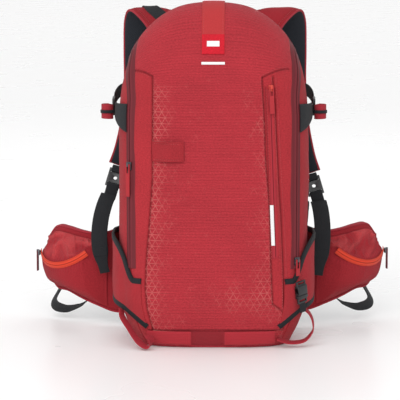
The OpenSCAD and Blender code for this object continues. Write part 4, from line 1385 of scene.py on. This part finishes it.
def belt_pocket(side, name):
    s = np.linspace(0, 1, 150)
    flat = np.array([pocket_section(side, v) for v in s])
    last = flat.shape[1] - 1
    z = mix(flat[:, :1, 2], flat[:, -1:, 2], row(0, 1, last + 1))
    inner = wing_at(side, mix(POCKET_FROM, POCKET_TO, s)[:, None], 0.4, z)
    normal = grid_normals(flat)
    if np.sum(normal * (flat - inner)) < 0:
        normal = -normal
    k = row(0, 1, last + 1)
    full = (ease(s / 0.1) * ease((1 - s) / 0.08))[:, None]
    edge = ease(k / 0.08) * ease((1 - k) / 0.08) * full
    above = ease((k - 0.53) / 0.08)
    warp = flat + 9 * np.stack([ripples(flat, 60, 9), ripples(flat, 70, 11), ripples(flat, 50, 13)], -1)
    folds = 1 - np.abs(ripples(warp * np.array([1.0, 0.6, 0.75]), 40, 15 + side))
    small = 1 - np.abs(ripples(warp * np.array([1.1, 0.7, 0.8]), 21, 19 + side))
    relief = above * (5.0 * folds ** 3 + 2.6 * small ** 3 - 3.6) + (1 - above) * (0.9 * folds ** 3 - 0.3)
    relief = relief + 1.0 * bump(k - 0.62, 0.06) + 0.5 * bump(k - 0.40, 0.06)
    relief = relief * (1 - bump(k - 0.5, 0.045)) + 0.5 * np.sin(s[:, None] * 150) * bump(k - 0.5, 0.09)
    outer = flat + normal * (relief * edge)[..., None]
    # painted highlight: a lighter colour on the crests of the folds above the zip, kept in the above attribute
    bright = above * np.clip(1.4 * folds ** 2 - 0.1, 0, 1)
    piece = patch("pocket_" + name, outer, inner, "pocket lining", grid_uv(flat), {"above": bright})
    put_belt(piece, side, name, "shell_fabric", "belt_pocket_" + name)
    d = np.linspace(ARC_FROM, ARC_TO, 120)
    m, t = math.radians(ARC_MID), math.radians(ARC_TILT)
    axis = np.array([math.sin(m) * math.sin(t), -math.cos(m) * math.sin(t), math.cos(t)])
    mirror = np.array([side, 1, 1])
    across = (axis - math.tan(t) * math.cos(math.radians(SLIDER_AT)) * arc_out(d)) * mirror
    path = arc_point(side, d, ARC_R)
    half = [(-5.4, -0.9), (-5.2, 0.0), (-2.4, 0.3), (-1.6, 0.7), (-0.4, 0.6)]
    profile = half + [(0, 0.1)] + [(-x, y) for x, y in half[::-1]]
    way = np.cross(unit(np.gradient(path, axis=0)), across)
    if np.sum(way * (arc_out(d) * mirror)) < 0:
        way = -way
    tape = sweep("pocket_zip_" + name, path, way, profile, "zip_bright")
    put_belt(tape, side, name, "bright_zip_tape", "belt_pocket_zip_" + name)


LOOP = [(228, 206, 96), (234, 203, 74), (247, 192, 50), (256, 176, 33), (250, 160, 26), (232, 146, 25),
        (210, 138, 32), (194, 137, 43), (186, 140, 52)]
# the lighter second colour is a painted highlight on the pocket's fold crests above the zip
MAT["pocket"] = cloth_material("pocket_red", (0.30, 0.019, 0.026), thread=0.8, by="above",
                               highlight_colour=(0.42, 0.045, 0.050))
for s_, n_ in SIDES:
    hip_wing(s_, n_)
    belt_pocket(s_, n_)
    put_belt(band("belt_band_" + n_, mirrored(LOOP, s_), (s_ * 0.75, 1, -0.7), 19, 1.8, "web_black", 16), s_, n_,
             "black_webbing", "belt_webbing_" + n_)


# ---- back pads
def inflate(obj, cap):
    """Blows a closed fabric form up by a short cloth run, no point moving further than cap millimetres."""
    bpy.context.view_layer.objects.active = obj
    remesh = obj.modifiers.new("Remesh", "REMESH")
    remesh.mode = "VOXEL"
    remesh.voxel_size = 5 * MM
    apply_all(obj)
    start = np.array([v.co[:] for v in obj.data.vertices])
    cloth = obj.modifiers.new("Cloth", "CLOTH")
    cloth.settings.use_pressure = True
    cloth.settings.uniform_pressure_force = 4.0
    cloth.settings.effector_weights.gravity = 0.0
    cloth.settings.quality = 5
    for f in range(1, 21):
        bpy.context.scene.frame_set(f)
    apply_all(obj)
    bpy.context.scene.frame_set(1)
    move = np.array([v.co[:] for v in obj.data.vertices]) - start
    far = np.linalg.norm(move, axis=1, keepdims=True)
    end = start + move * np.minimum(1, cap * MM / np.maximum(far, 1e-9))
    obj.data.vertices.foreach_set("co", end.ravel())
    subdivided(obj)
    obj.data.polygons.foreach_set("use_smooth", [True] * len(obj.data.polygons))
    return obj


def back_pads():
    pads = []
    for x, z, w, h, t in ((-56, 345, 66, 120, 12), (56, 345, 66, 120, 12), (-56, 225, 66, 100, 12),
                          (56, 225, 66, 100, 12), (0, 112, 168, 104, 16)):
        bm = bmesh.new()
        levels = [(0, 0.0), (1.5, 1.0), (4, 1.2), (t - 5, 6), (t - 2.2, 10)]
        rings = []
        for y, inset in levels:
            a, b, r = w / 2 - 1.5 - inset, h / 2 - 1.5 - inset, 14 - inset * 0.4
            ring = []
            for cx, cz, s0 in ((1, 1, 0), (-1, 1, 90), (-1, -1, 180), (1, -1, 270)):
                for q in range(7):
                    g = math.radians(s0 + 15 * q)
                    ring.append(bm.verts.new(((x + cx * (a - r) + r * math.cos(g)) * MM, (BACK_Y + 0.6 + y) * MM,
                                              (z + cz * (b - r) + r * math.sin(g)) * MM)))
            rings.append(ring)
        for lo, hi in zip(rings[:-1], rings[1:]):
            for i in range(28):
                j = (i + 1) % 28
                bm.faces.new((lo[i], lo[j], hi[j], hi[i]))
        bm.faces.new(rings[0])
        bm.faces.new(rings[-1])
        bmesh.ops.recalc_face_normals(bm, faces=bm.faces)
        mesh = bpy.data.meshes.new("pad")
        bm.to_mesh(mesh)
        bm.free()
        pads.append(link(bpy.data.objects.new("pad", mesh)))
    pad = join(pads[0], pads[1:])
    pad.name = "back_padding"
    inflate(pad, 3.0)
    co = np.array([v.co[:] for v in pad.data.vertices])
    y = co[:, 1] / MM
    deep = ease((y - BACK_Y - 5) / 4)
    groove = bump((co[:, 2] / MM) % 30 - 15, 1.6) * deep
    y = np.maximum(y - 2.2 * groove, BACK_Y + 0.55)
    co[:, 1] = y * MM
    pad.data.vertices.foreach_set("co", co.ravel())
    pad.data.materials.clear()
    pad.data.materials.append(MAT["pad_mesh"])
    put(pad, "pack", "lining_mesh", "back_pads")


MAT["pad_mesh"] = mesh_material("pad_mesh", (0.030, 0.033, 0.040), 2.8, False)
back_pads()


DIVIDER_HALF, DIVIDER_LOW, DIVIDER_TOP, DIVIDER_Y = 98, 20, 360, 40.5


def divider():
    x = row(-DIVIDER_HALF, DIVIDER_HALF, 80)
    z = column(DIVIDER_LOW, DIVIDER_TOP, 130)
    flat = np.stack(np.broadcast_arrays(x, DIVIDER_Y + 0 * x, z), -1)
    sag = 1.2 * ripples(flat, 90, 8) * ease((DIVIDER_HALF - np.abs(x)) / 20) * ease((z - DIVIDER_LOW) / 20)
    half = 0.5 + 0.6 * ease((z - DIVIDER_TOP + 12) / 3)
    front, back = (flat + (sag + way * half)[..., None] * np.array([0, 1, 0]) for way in (-1, 1))
    put(patch("sleeve_divider", front, back, "lining", flat_uv(x, z)), "pack", "lining_mesh", "tool_divider")


divider()


# ---- fittings
def bevelled(node, body, slot, mat, width):
    """A copy of a moulded or cast CAD piece with its edges rounded, which stands for it."""
    mesh = bpy.data.objects[node].data.copy()
    mesh.materials.clear()
    mesh.materials.append(MAT[mat])
    change_mesh(mesh, lambda bm: bmesh.ops.remove_doubles(bm, verts=bm.verts, dist=0.02 * MM),
                lambda bm: bmesh.ops.dissolve_limit(bm, angle_limit=math.radians(2), verts=bm.verts, edges=bm.edges))
    mesh.polygons.foreach_set("material_index", [0] * len(mesh.polygons))
    obj = link(bpy.data.objects.new(node + "_form", mesh))
    mod = obj.modifiers.new("Bevel", "BEVEL")
    mod.width = width * MM
    mod.segments = 2
    mod.limit_method = "ANGLE"
    mod.angle_limit = math.radians(40)
    apply_all(obj)
    obj.data.polygons.foreach_set("use_smooth", [True] * len(obj.data.polygons))
    obj.data.set_sharp_from_angle(angle=math.radians(35))
    put(obj, body, slot, node)
    return obj


MOULDED = [("compression_ladderlocks", "pack", 0.55), ("ski_buckle_socket", "pack", 0.9),
           ("ski_buckle_plug", "ski_strap", 0.6), ("chest_buckle_socket", "chest_strap_left", 0.8),
           ("chest_buckle_plug", "chest_strap_right", 0.6), ("belt_buckle_socket", "hip_wing_left", 1.0),
           ("belt_buckle_plug", "hip_wing_right", 0.7)]
for node_, body_, width_ in MOULDED:
    bevelled(node_, body_, "black_plastic", "plastic", width_)
bevelled("front_pocket_slider", "front_pocket_slider", "zip_metal", "slider_red", 0.4)
bevelled("front_pocket_pull", "front_pocket_pull", "pull_cord", "cord", 0.5)
for _, n_ in SIDES:
    bevelled("strap_adjuster_" + n_, "shoulder_" + n_, "black_plastic", "plastic", 0.8)
    for set_, cord_ in (("main_", "cord"), ("belt_pocket_", "cord_dark")):
        bevelled(set_ + "slider_" + n_, set_ + "slider_" + n_, "zip_metal", "metal", 0.5)
        bevelled(set_ + "pull_" + n_, set_ + "pull_" + n_, "pull_cord", cord_, 0.5)


def ski_web():
    x = unit(np.array([0.10, 0.10, -1.0]))
    face = np.array([0.72, -0.69, 0.0])
    origin = skin_x(83.0, 0.875, 7.2)
    path = np.array([origin + x * d for d in np.linspace(13.6, 27.6, 10)])
    put(sweep("ski_strap_band", path, face, flat_profile(13, 1.6), "web_black"), "ski_strap",
        "black_webbing", "ski_webbing")


ski_web()
for node, mat in (("frame_sheet", "sheet"), ("frame_stays", "alloy")):
    obj_ = bpy.data.objects[node]
    if not obj_.material_slots:
        obj_.data.materials.append(None)
    for slot_ in obj_.material_slots:
        slot_.link = "OBJECT"
        slot_.material = MAT[mat]
